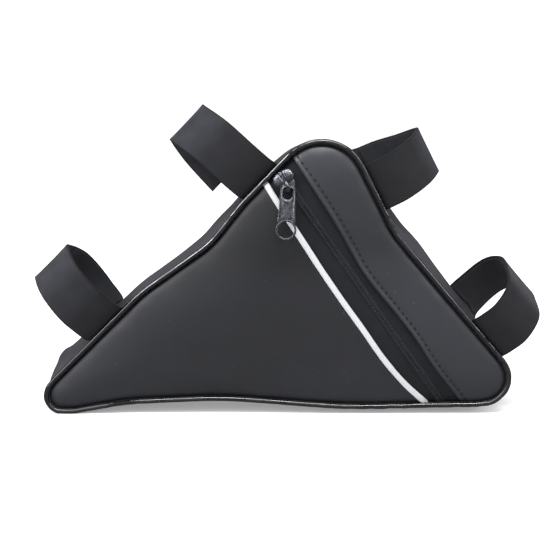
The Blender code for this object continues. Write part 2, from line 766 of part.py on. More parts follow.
def ring_points(centre, width, height, count, power=1.0):
    """Points round an ellipse, or round a squarer shape where power is under 1."""
    angles = np.linspace(0, 2 * math.pi, count, endpoint=False)
    sides = np.cos(angles)
    rises = np.sin(angles)
    x = centre[0] + width / 2 * np.sign(sides) * np.abs(sides) ** power
    y = centre[1] + height / 2 * np.sign(rises) * np.abs(rises) ** power
    return list(zip(x, y))


def pull_outline():
    """The pull's edge: a rounded head, straight sides and a round end about the finger hole."""
    half = PULL_WIDTH / 2
    ring = PULL_RING_DIAMETER / 2
    head_top = PULL_PIN_DIAMETER / 2
    ring_centre = head_top - PULL_LENGTH + ring
    left = [
        (-0.62 * half, head_top),
        (-0.94 * half, head_top - 0.35 * half),
        (-half, head_top - 1.2 * half),
        (-half, head_top - 0.52 * PULL_LENGTH),
    ]
    angles = np.radians(np.linspace(160, 380, 17))
    arc = [(ring * math.cos(a), ring_centre + ring * math.sin(a)) for a in angles]
    right = [(-x, y) for x, y in reversed(left)]
    return left + arc + right, ring_centre


def build_pull(collection, material):
    curve = bpy.data.curves.new("zip_pull", "CURVE")
    curve.dimensions = "2D"
    curve.fill_mode = "BOTH"
    curve.extrude = PULL_THICKNESS / 2
    edge, ring_centre = pull_outline()
    eye_top = -PULL_PIN_DIAMETER / 2
    eye_centre = (0, eye_top - PULL_EYE_HEIGHT / 2)
    eye = ring_points(eye_centre, PULL_EYE_WIDTH, PULL_EYE_HEIGHT, 16, PULL_EYE_POWER)
    hole = ring_points((0, ring_centre), PULL_RING_HOLE, PULL_RING_HOLE, 20)
    for ring in (edge, eye, hole):
        spline = curve.splines.new("POLY")
        spline.points.add(len(ring) - 1)
        for point, (x, y) in zip(spline.points, ring):
            point.co = (x, y, 0, 1)
        spline.use_cyclic_u = True
    curve.materials.append(material)
    made = bpy.data.objects.new("zip_pull", curve)
    made.matrix_world = pull_frame()
    collection.objects.link(made)


def build_back_panel(collection, material):
    lengths = OUTLINE.stations()
    edge = OUTLINE.point(lengths) - OUTLINE.outward(lengths) * PANEL_INSET
    middle = np.array([BACK_MIDDLE["across"] * PANEL_WIDTH, BACK_MIDDLE["up"] * PANEL_HEIGHT])
    shares = np.sin(np.linspace(math.pi / 2, 0, 6))[:, None, None]
    flat = middle + (edge - middle) * shares
    y = BAG_MIDDLE_Y + HALF_DEPTH + PANEL_WALL / 2 + puff(flat, BACK_PUFF)
    placed = tuck(flat)
    grid = np.stack([placed[..., 0], y, placed[..., 1]], axis=-1)
    grid = np.swapaxes(grid, 0, 1)
    sheet("back_panel", grid, PANEL_WALL, collection, material, flipped=True, closed_rows=True)


def strap_place(row):
    """The length round the outline at which a strap is sewn on."""
    target = row["height"] * PANEL_HEIGHT
    apex = OUTLINE.corner_at["apex"]
    if row["side"] == "left":
        lengths = np.linspace(OUTLINE.corner_at["lower_left"], apex, 2000)
    else:
        lengths = np.linspace(OUTLINE.corner_at["lower_right"], apex, 2000)
    return lengths[np.abs(OUTLINE.point(lengths)[:, 1] - target).argmin()]


def strap_grid(row):
    """The strap's middle face.

    Each row of points is straight, except that it takes the side wall's shape where the strap
    is sewn on, and never comes nearer to the wall than it is allowed to."""
    path = smooth_curve([list(step.values()) for step in row["path"]], STRAP_ROWS_PER_STEP)
    place = strap_place(row)
    centre = OUTLINE.point(place)
    way = 1 if row["side"] == "left" else -1
    beside = np.linspace(-0.5, 0.5, STRAP_COLUMNS + 1) * STRAP_WIDTH
    ends = OUTLINE.point(place + beside[[0, -1]] * way)
    tangent = unit(ends[1] - ends[0])
    out = np.array([-tangent[1], tangent[0]]) * way
    grid = []
    for share_out, share_depth, slide in path:
        shifted = beside + slide * STRAP_WIDTH
        depth = share_depth * HALF_DEPTH
        inner_face = depth - np.sign(depth) * STRAP_THICKNESS / 2
        across_wall = np.clip(0.5 + inner_face / BAG_DEPTH, 0, 1)
        wall = side_wall_point(place + shifted * way, across_wall)[:, [0, 2]]
        on_wall = (wall - centre) @ out + STRAP_REST_GAP
        free = share_out * row["reach"] + max(on_wall.mean(), 0) * (1 - share_out)
        sewn = max(1 - share_out / STRAP_SEWN_SHARE, 0)
        offsets = on_wall * sewn + free * (1 - sewn)
        least = (on_wall + share_out * row["reach"]) / 2
        if share_out > 0.02:
            offsets = np.maximum(offsets, least)
        flat = centre + tangent * shifted[:, None] + out * offsets[:, None]
        y = np.full(len(beside), BAG_MIDDLE_Y + depth)
        grid.append(np.stack([flat[:, 0], y, flat[:, 1]], axis=-1))
    return np.array(grid)


def build_straps(collection, material):
    for name, row in STRAPS.items():
        sheet(name, strap_grid(row), STRAP_THICKNESS, collection, material, centred=True)


def main():
    clear_scene()
    bag = new_collection("bicycle_frame_bag")
    cutters = new_collection("cutters")
    finishes = {name: new_material(name) for name in FINISHES}
    build_front_lower(bag, finishes["panel_leather"])
    build_front_upper(bag, finishes["panel_leather"])
    build_back_panel(bag, finishes["panel_leather"])
    build_gusset(bag, finishes["gusset_leather"])
    build_piping(bag, finishes["gloss_piping"])
    build_zip_tapes(bag, finishes["zip_cloth"])
    build_zip_bars(bag, finishes["zip_coil"], finishes["reflective"])
    build_slider(bag, cutters, finishes["gunmetal"])
    build_pull(bag, finishes["gunmetal"])
    build_straps(bag, finishes["strap_weave"])


main()
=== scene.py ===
"""The looks of a triangular bicycle frame bag: leather, piping, zip, straps and a plain stage.

The bag stands on its long edge and its front faces -Y. Every piece is worked out in metres in
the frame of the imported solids, from the same named sizes and shares as the solids.
"""

import json
import math

import bmesh
import bpy
import numpy as np
from bpy.props import FloatProperty, FloatVectorProperty, PointerProperty
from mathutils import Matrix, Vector


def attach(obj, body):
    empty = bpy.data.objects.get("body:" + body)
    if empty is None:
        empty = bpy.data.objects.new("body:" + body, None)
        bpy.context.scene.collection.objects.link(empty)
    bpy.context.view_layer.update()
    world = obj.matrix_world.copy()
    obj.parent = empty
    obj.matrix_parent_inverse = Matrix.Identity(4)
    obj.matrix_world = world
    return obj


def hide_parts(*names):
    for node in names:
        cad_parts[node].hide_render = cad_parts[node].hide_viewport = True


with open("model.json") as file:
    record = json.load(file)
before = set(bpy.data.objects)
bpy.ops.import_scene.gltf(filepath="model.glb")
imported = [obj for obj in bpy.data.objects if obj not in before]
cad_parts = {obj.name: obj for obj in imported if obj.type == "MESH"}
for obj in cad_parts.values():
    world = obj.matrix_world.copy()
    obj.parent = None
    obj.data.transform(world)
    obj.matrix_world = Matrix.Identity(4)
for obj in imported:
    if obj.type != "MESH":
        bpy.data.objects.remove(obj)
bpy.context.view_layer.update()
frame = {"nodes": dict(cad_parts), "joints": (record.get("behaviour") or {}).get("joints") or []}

bl_info = {
    "name": "Bicycle Frame Bag",
    "version": (1, 0, 0),
    "blender": (4, 5, 0),
    "location": "View3D > Sidebar > Frame Bag",
    "description": "Dresses a triangular bicycle frame bag and lights it on a plain stage",
    "category": "Object",
}

MM = 0.001
BAG = "bag"
PULL = "pull"
FRONT = (0, -1, 0)
BACK = (0, 1, 0)


def named_rows(columns, *rows):
    """Rows of values under the columns' names."""
    return [dict(zip(columns.split(), row)) for row in rows]


def named_table(columns, **rows):
    """The same, with a name for each row."""
    return dict(zip(rows, named_rows(columns, *rows.values())))


def strap(side, height, reach, *path):
    """A strap: its side of the bag, its height as a share of the bag's, how far it stands out,
    and its path. A row of the path that gives no lean has none."""
    rows = named_rows("out depth slide lean", *[(*row, 0.0)[:4] for row in path])
    return {"side": side, "height": height, "reach": reach, "path": rows}


# Corners of the outline, before they are rounded: across is a share of the panel's width from
# the bag's middle, up a share of its height from the floor, and round a share of its width.
OUTLINE_CORNERS = named_table(
    "across up round",
    lower_left=(-0.592, -0.034, 0.040),
    left_swell=(-0.306, 0.452, 0.200),
    left_dip=(-0.160, 0.629, 0.114),
    left_shoulder=(-0.091, 0.777, 0.170),
    apex=(0.096, 1.106, 0.104),
    right_dip=(0.228, 0.665, 0.085),
    right_swell=(0.325, 0.470, 0.300),
    lower_right=(0.542, 0.040, 0.057),
    bottom_rise=(0.128, 0.025, 0.800),
    bottom_crest=(-0.137, 0.060, 0.800),
    bottom_knee=(-0.342, 0.045, 0.500),
)

# How far the side wall swells past the piping, as a share of the bag's depth: at each corner
# of the outline, then a quarter, half and three quarters of the way to the next corner.
GUSSET_SWELL = named_table(
    "corner quarter half three_quarters",
    lower_left=(0.000, 0.130, 0.110, 0.085),
    left_swell=(0.070, 0.070, 0.075, 0.080),
    left_dip=(0.085, 0.090, 0.095, 0.095),
    left_shoulder=(0.090, 0.085, 0.080, 0.050),
    apex=(0.010, 0.020, 0.050, 0.090),
    right_dip=(0.145, 0.160, 0.155, 0.135),
    right_swell=(0.115, 0.090, 0.060, 0.030),
    lower_right=(0.010, 0.130, 0.155, 0.155),
    bottom_rise=(0.150, 0.120, 0.100, 0.095),
    bottom_crest=(0.090, 0.095, 0.100, 0.105),
    bottom_knee=(0.105, 0.100, 0.090, 0.050),
)
SWELL_POWER = 2.4

# Pinches in the side wall: after is the corner that each follows, along the millimetres past
# it, wide its half width in millimetres, deep its depth, and lean its slant across the wall.
GUSSET_PINCHES = named_rows(
    "after along wide deep lean",
    ("right_dip", -31, 2.4, 1.9, 0.5),
    ("right_dip", -46, 5.0, 0.6, -0.4),
    ("apex", 60, 5.0, 0.8, 0.3),
    ("apex", -8, 26.0, 1.6, 0.0),
    ("left_dip", 30, 9.0, 0.6, -0.5),
    ("left_dip", 6, 22.0, -2.0, 0.0),
    ("lower_left", 31, 5.0, -2.2, 0.1),
    ("lower_left", 14, 5.0, 3.0, 0.3),
    ("right_swell", 30, 5.0, 0.6, 0.4),
    ("bottom_crest", 10, 8.0, 1.0, 0.3),
)

# Stretches of piping that are crumpled rather than taut, in the same terms.
PIPING_CRUMPLES = named_rows(
    "after along wide deep",
    ("right_dip", 0, 16, 0.55),
    ("lower_right", 8, 14, 0.45),
    ("lower_right", 75, 34, 0.32),
    ("left_dip", 0, 18, 0.35),
    ("left_shoulder", 30, 26, 0.20),
    ("lower_left", -6, 12, 0.30),
)

ZIP_TOP = {"across": -0.0185, "up": 0.913}
ZIP_BOTTOM = {"across": 0.328, "up": 0.048}

# The lines beside the zip's axis: along is a share of the axis, and the others are shares of
# the zip zone's width, positive to the upper right.
ZIP_LINES = named_rows(
    "along stripe coil fold sewn",
    (-0.15, -0.46, -0.10, 0.43, 0.53),
    (0.00, -0.525, -0.07, 0.42, 0.545),
    (0.13, -0.55, -0.04, 0.412, 0.585),
    (0.25, -0.565, -0.02, 0.395, 0.57),
    (0.36, -0.59, -0.01, 0.33, 0.50),
    (0.44, -0.596, 0.00, 0.28, 0.44),
    (0.52, -0.594, 0.00, 0.292, 0.445),
    (0.63, -0.575, 0.01, 0.372, 0.515),
    (0.75, -0.572, 0.02, 0.428, 0.57),
    (0.87, -0.49, 0.04, 0.41, 0.55),
    (1.00, -0.31, 0.05, 0.455, 0.59),
    (1.15, -0.22, 0.06, 0.51, 0.64),
)

# The upper panel's edge over the zip, from its hidden hem round the fold to the stitch line
# and on into the panel: beside is millimetres from the fold and level its height.
FOLD_EDGE = named_rows(
    "beside level",
    (2.60, -1.90), (1.20, -1.90), (0.50, -1.80), (0.08, -1.40), (-0.08, -0.80), (0.05, -0.25),
    (0.35, 0.20), (0.80, 0.50), (1.35, 0.60), (1.90, 0.42), (2.40, 0.05), (2.90, -0.14),
    (3.50, -0.14), (4.30, -0.30), (5.00, -0.18), (5.80, 0.00), (6.50, 0.10), (9.00, 0.00),
)

# The lower panel's edge beside the stripe, from its hidden hem to the panel.
HEM_EDGE = named_rows(
    "beside level",
    (0.2, -2.0), (0.0, -1.4), (-0.15, -0.8), (-0.45, -0.35), (-0.95, -0.12),
    (-1.60, -0.10), (-2.10, -0.16), (-2.60, -0.08), (-3.60, 0.0), (-5.00, 0.0),
)

# Each strap's centre line: out is a share of its reach, depth a share of half the bag's depth
# from its middle, slide a share of the strap's width, positive towards the apex, and lean the
# turn of its width about the line, in radians.
STRAPS = {
    "strap_upper_left": strap(
        "left", 0.850, 67 * MM,
        (0.00, -0.84, -0.03),
        (0.30, -1.05, -0.07),
        (0.70, -0.86, -0.11),
        (0.97, -0.32, -0.22),
        (1.01, -0.08, -0.27),
        (0.72, 0.25, -0.40),
        (0.28, 0.44, -0.48),
    ),
    "strap_upper_left_catch": strap(
        "left", 0.850, 67 * MM,
        (0.00, 0.84, -0.18),
        (0.12, 0.68, -0.18),
        (0.26, 0.36, -0.19),
        (0.48, 0.27, -0.20),
        (0.72, 0.11, -0.20),
    ),
    "strap_lower_left": strap(
        "left", 0.330, 60 * MM,
        (0.00, -0.84, -0.03),
        (0.38, -1.22, -0.05),
        (0.78, -0.85, -0.06),
        (1.02, -0.14, -0.04),
        (1.01, 0.12, -0.02),
        (0.78, 0.84, -0.03),
        (0.40, 1.18, -0.15),
        (0.00, 0.84, -0.25),
    ),
    "strap_upper_right": strap(
        "right", 0.825, 46 * MM,
        (0.00, -0.84, 0.00),
        (0.40, -0.98, 0.01),
        (0.80, -0.55, 0.04),
        (1.03, -0.09, 0.10),
        (1.03, 0.12, 0.13),
        (0.70, 0.44, 0.16),
        (0.34, 0.72, 0.22),
        (0.00, 0.84, 0.26),
    ),
    "strap_lower_right": strap(
        "right", 0.280, 46 * MM,
        (0.00, -0.84, -0.04),
        (0.46, -1.15, -0.03),
        (0.86, -0.80, 0.07),
        (1.01, -0.10, 0.23, -0.05),
        (1.05, 0.52, 0.37, -0.2),
        (0.80, 1.00, 0.53, -0.4),
        (0.32, 1.06, 0.54, -0.4),
        (0.00, 0.84, 0.50, -0.2),
    ),
}
STRAP_REST_GAP = 0.57 * MM
STRAP_SEWN_SHARE = 0.3

# Painted light and shade on the front leather by height: each row is a share of the height and a level
# from 0 for dark to 1 for pale, with 0.5 for plain. Pale rows stand where the surface turns up to the top
# light.
PAINTED_LIGHT_LOWER = ((0.0, 0.64), (0.15, 0.51), (0.30, 0.33), (0.45, 0.33), (0.67, 0.05), (1.0, 0.0))
PAINTED_LIGHT_UPPER = (
    (0.0, 0.5), (0.14, 0.5), (0.37, 0.65), (0.54, 0.56), (0.66, 0.31), (0.78, 0.46), (1.0, 0.74),
)

# The hook tapes inside the straps: from and to are shares of the strap's path.
HOOK_TAPES = named_table(
    "from to",
    strap_lower_left=(0.56, 0.99),
    strap_upper_right=(0.60, 0.965),
    strap_lower_right=(0.455, 0.965),
)

# The rows of stitches: edge is a share of the stripe's half width, and the others are in
# millimetres. Beside is the distance from the line and its edge.
STITCHES = named_table(
    "line edge beside pitch length radius level",
    fold_stitches=("sewn", 0, 0.0, 4.8, 2.5, 0.48, -0.05),
    hem_stitches=("stripe", -1, -3.9, 3.4, 1.9, 0.30, -0.12),
)
STITCH_SAG = 0.28 * MM

# The lamps: power is a share of the key light's, and a cool lamp is slightly blue.
LAMPS = named_table(
    "size power place cool",
    key=((0.6, 0.4), 1.0, (-0.95, -0.5, 0.9), True),
    top=((1.0, 0.2), 1.6, (0.1, -0.55, 1.25), False),
    low=((0.4, 0.5), 0.22, (-1.05, -0.6, 0.45), True),
    side=((0.2, 0.6), 0.3, (1.1, -0.45, 0.75), True),
)
COOL = (0.96, 0.97, 1)
LAMP_TARGET = Vector((0, 0, 0.1))
CAMERA_AIM = Vector((-0.0048, -0.0215, 0.103))
FLOOR_REACH = 6.0

# The seams: how far the panels' edges lie inside the outline, and the room beside the piping.
SEAM_INSET = 1.2 * MM
SEAM_GAP = 0.45 * MM

# The slider: its distance from the zip's top, its middle over the tape, its plate, its crown
# with a groove, and its bridge.
SLIDER_FROM_TOP = 13 * MM
SLIDER_LIFT = 3.25 * MM
PLATE_WALL = 3.4 * MM
CROWN_LENGTH = 11 * MM
CROWN_HEIGHT = 6 * MM
CROWN_PLACE = (0, 3.0 * MM, 0.7 * MM)
GROOVE_DEPTH = 2.2 * MM
GROOVE_HALF = 0.75 * MM
BRIDGE_TOP = 5.5 * MM
BRIDGE_FOOT = 0.5 * MM
BRIDGE_HALF = 3.6 * MM
BRIDGE_MIDDLE = -4 * MM
BRIDGE_RADII = (1.15 * MM, 0.9 * MM)

# The pull: its top over the pin, its ring's outer and inner radius, its wall, and its eye.
PULL_TOP = 0.7 * MM
PULL_RING = 7.5 * MM
PULL_HOLE = 6.0 * MM
PULL_WALL = 1.4 * MM
PULL_EYE = (3.8 * MM, 4.5 * MM)

# The front panels: the line that each starts from, its columns and rows, the power that brings
# the rows closer together near the seam, and its wall as a share of the leather's.
FRONT_PANELS = named_table(
    "line columns rows power wall",
    lower=("stripe", 220, 70, 2.2, 0.6),
    upper=("fold", 200, 50, 2.0, 0.5),
)

# The zip's tapes: the line where each starts and ends, the share of the stripe's half width
# beside it, and the millimetres beside that.
ZIP_TAPES = named_table(
    "start end",
    zip_tape_lower=(("stripe", -0.6, 0.0), ("coil", 0, -0.25)),
    zip_tape_upper=(("coil", 0, 0.25), ("fold", 0, 2.4)),
)

# The two rows of teeth: side is 1 for the upper right, reach a share of half the coil's width,
# and height is in millimetres.
TEETH_ROWS = named_rows(
    "side reach height",
    (1, 0.86, 0.80),
    (-1, 0.60, 0.68),
)
TOOTH_PITCH = 1.7 * MM
TOOTH_RADIUS = 0.36 * MM
TOOTH_SAG = 0.30 * MM
TOOTH_LEAN = 0.12

# The dents of the panels: height and size in millimetres, and the seed of the random draw.
FRONT_DENTS = named_rows("height size seed", (0.55, 62, 3), (0.16, 23, 4))
BACK_DENTS = named_rows("height size seed", (0.6, 58, 11), (0.2, 24, 12))

# The hook tapes' wall, their distance from the strap, and how ragged their cut ends are.
HOOK_WALL = 0.8 * MM
HOOK_GAP = 0.55 * MM
HOOK_RAGGED = 1.6 * MM

# The numbers of points: round and along a thread, over a pebble, along and across a strap, a
# zip tape and a hook tape, round the outline and across the back, the side wall and the piping.
THREAD_ROWS, THREAD_SIDES = 7, 8
PEBBLE_ROWS, PEBBLE_SIDES = 64, 96
STRAP_STEPS, STRAP_COLUMNS = 12, 25
TAPE_COLUMNS, TAPE_ROWS = 160, 16
HOOK_ROWS = 40
BACK_COLUMNS, BACK_ROWS = 520, 46
GUSSET_ROWS, GUSSET_COLUMNS = 720, 41
PIPING_ROWS, PIPING_SIDES = 1100, 14
STRIPE_ROWS, STRIPE_SIDES = 300, 20
BRIDGE_SIDES = 14
PULL_ROWS = 96

# The back panel's middle, where its rings shrink to a point.
BACK_MIDDLE = {"across": 0.04, "up": 0.34}


def length_size(name, description, value):
    """A length in millimetres as a property in metres."""
    return FloatProperty(name=name, description=description, default=value * MM, unit="LENGTH")


def finish_colour(name, description, value):
    """A linear colour as a property."""
    return FloatVectorProperty(
        name=name, description=description, default=value, subtype="COLOR", min=0, max=1
    )


class BagSizes(bpy.types.PropertyGroup):
    """The bag's sizes."""

    panel_width: length_size("Panel width", "Length of the front outline", 351)
    panel_height: length_size("Panel height", "Height of the front outline", 206)
    bag_depth: length_size("Bag depth", "From the front piping to the back piping", 55)
    middle_y: length_size("Middle", "Place of the bag's middle between front and back", 6)
    front_puff: length_size("Front puff", "How far the front swells past its seam", 9)
    back_puff: length_size("Back puff", "How far the back swells past its seam", 6)
    puff_reach: length_size("Puff reach", "Distance from the seam to the full swell", 48)
    back_tuck: length_size("Back tuck", "How much lower the back's apex is than the front's", 6)
    piping: length_size("Piping", "Diameter of the edge piping", 3.8)
    seam_roll: length_size("Seam roll", "How far the leather dives beside a seam", 2.5)
    leather: length_size("Leather", "Thickness of the panels", 1.6)
    layer_gap: length_size("Layer gap", "Room between a panel and the zip tape under it", 0.6)
    zip_zone: length_size("Zip zone", "Width that the zip's lines are shares of", 28)
    tape_wall: length_size("Tape", "Thickness of the zip tape", 1.0)
    coil_width: length_size("Coil width", "Width of the zip's teeth", 5.6)
    stripe_width: length_size("Stripe width", "Width of the pale stripe", 4.4)
    stripe_height: length_size("Stripe height", "Height of the pale stripe", 2.6)
    slider_length: length_size("Slider length", "Length of the zip slider", 16)
    slider_width: length_size("Slider width", "Width of the zip slider", 12.4)
    pull_length: length_size("Pull length", "Length of the zip pull", 40)
    pull_width: length_size("Pull width", "Width of the zip pull's plate", 11.2)
    strap_width: length_size("Strap width", "Width of the straps", 36)
    strap_wall: length_size("Strap thickness", "Thickness of the straps", 1.8)


class BagFinish(bpy.types.PropertyGroup):
    """The bag's colours."""

    panel: finish_colour("Panel", "Front and back leather", (0.0142, 0.0146, 0.0182))
    gusset: finish_colour("Side wall", "Leather of the side wall", (0.031, 0.0312, 0.037))
    piping: finish_colour("Piping", "Glossy edge piping", (0.004, 0.004, 0.005))
    tape: finish_colour("Zip tape", "Cloth beside the teeth", (0.0058, 0.0064, 0.0086))
    coil: finish_colour("Zip teeth", "Nylon teeth", (0.0135, 0.0145, 0.0180))
    thread: finish_colour("Thread", "Sewing thread", (0.003, 0.003, 0.004))
    metal: finish_colour("Metal", "Slider and pull", (0.17, 0.17, 0.192))
    stripe: finish_colour("Stripe", "Pale reflective stripe", (0.40, 0.405, 0.415))
    strap: finish_colour("Strap", "Woven straps", (0.0078, 0.0080, 0.0102))
    floor: finish_colour("Floor", "Plain pale floor", (0.78, 0.78, 0.78))


class BagStage(bpy.types.PropertyGroup):
    """The camera and the light."""

    elevation: FloatProperty(
        name="Elevation", description="Camera's height angle", default=math.radians(12), subtype="ANGLE"
    )
    distance: FloatProperty(
        name="Distance", description="Camera to the bag", default=0.9, unit="LENGTH"
    )
    lens: FloatProperty(name="Lens", description="Focal length in millimetres", default=78.5)
    key: FloatProperty(name="Key light", description="Power of the light at the left", default=11.0)
    fill: FloatProperty(name="Surround", description="Strength of the pale surround", default=1.08)
    reflected: FloatProperty(
        name="Reflected", description="Strength of the surround in reflections", default=0.22
    )


def unit(vectors):
    return vectors / np.linalg.norm(vectors, axis=-1, keepdims=True)


def lengths_along(line):
    """The length of a line up to each of its points."""
    return np.concatenate([[0], np.cumsum(np.linalg.norm(np.diff(line, axis=0), axis=1))])


def whole_turn(count):
    """Even angles all round."""
    return np.linspace(0, 2 * math.pi, count, endpoint=False)


def signed_power(value, power):
    return np.sign(value) * np.abs(value) ** power


def paired(first, second):
    """Two sets of values, spread over each other, as pairs."""
    return np.stack(np.broadcast_arrays(first, second), axis=-1)


def circle(angle):
    """The points of a round line at each angle."""
    return np.stack([np.cos(angle), np.sin(angle)], axis=-1)


def ramp(share):
    """A smooth step from 0 to 1."""
    return share * share * (3 - 2 * share)


def shut_ends(count):
    """Ones with a nothing at both ends, which closes a tube."""
    return np.concatenate([[0], np.ones(count - 2), [0]])[:, None, None]


def smooth_curve(rows, steps):
    """A Catmull-Rom curve: each stretch is the cubic through its ends whose slopes are half the
    difference of the rows on either side."""
    rows = np.asarray(rows, float)
    padded = np.vstack([2 * rows[0] - rows[1], rows, 2 * rows[-1] - rows[-2]])
    t = np.linspace(0, 1, steps, endpoint=False)[:, None]
    stretches = []
    for a, b, c, d in zip(padded[:-3], padded[1:-2], padded[2:-1], padded[3:]):
        square = 2 * a - 5 * b + 4 * c - d
        cube = 3 * (b - c) + d - a
        stretches.append(b + 0.5 * ((c - a) * t + square * t**2 + cube * t**3))
    return np.vstack([*stretches, rows[-1:]])


def points_at(places, lengths, line):
    """The line's points at some lengths along it, by straight steps."""
    return np.stack([np.interp(places, lengths, line[:, k]) for k in range(line.shape[1])], axis=-1)


def resampled(line, count):
    """The line as evenly spaced points."""
    lengths = lengths_along(line)
    return points_at(np.linspace(0, lengths[-1], count), lengths, line)


def rounded_polygon(corners, radii):
    """A closed line through the polygon's sides with an arc at each corner, every 3 degrees."""
    points = []
    marks = []
    count = len(corners)
    for i, (corner, radius) in enumerate(zip(corners, radii)):
        to_last = corners[i - 1] - corner
        to_next = corners[(i + 1) % count] - corner
        room = 0.48 * min(np.linalg.norm(to_last), np.linalg.norm(to_next))
        to_last = unit(to_last)
        to_next = unit(to_next)
        half = math.acos(np.clip(to_last @ to_next, -1, 1)) / 2
        tangent = min(radius / math.tan(half), room)
        radius = tangent * math.tan(half)
        middle = corner + unit(to_last + to_next) * radius / math.sin(half)
        start = corner + to_last * tangent - middle
        end = corner + to_next * tangent - middle
        turn = math.pi - 2 * half
        steps = max(2, math.ceil(turn / math.radians(3)))
        share = np.linspace(0, 1, steps + 1)[:, None]
        arc = (np.sin((1 - share) * turn) * start + np.sin(share * turn) * end) / math.sin(turn)
        marks.append(len(points) + steps // 2)
        points.extend(middle + arc)
    return np.array(points), marks


def wander(places, total, step, seed):
    """Random heights from -1 to 1 about every step of a closed line, joined by smooth ramps."""
    count = max(3, round(total / step))
    heights = np.random.default_rng(seed).uniform(-1, 1, count)
    turn = np.asarray(places) / total * count
    low = np.floor(turn).astype(int)
    share = ramp(turn - low)
    return heights[low % count] * (1 - share) + heights[(low + 1) % count] * share


def dapple(a, b, step, seed):
    """Random heights from -1 to 1 on a square lattice, joined by smooth ramps both ways."""
    size = 64
    heights = np.random.default_rng(seed).uniform(-1, 1, (size, size))
    column = np.floor(a / step).astype(int)
    row = np.floor(b / step).astype(int)
    across = ramp(a / step - column)
    up = ramp(b / step - row)
    low, high = (
        heights[column % size, k % size] * (1 - across) + heights[(column + 1) % size, k % size] * across
        for k in (row, row + 1)
    )
    return low * (1 - up) + high * up


def dents(points, rows):
    """Soft random dents at each (x, z), in as many sizes as there are rows."""
    sizes = [(row["height"] * MM, row["size"] * MM, row["seed"]) for row in rows]
    return sum(high * dapple(points[..., 0], points[..., 1], size, seed) for high, size, seed in sizes)


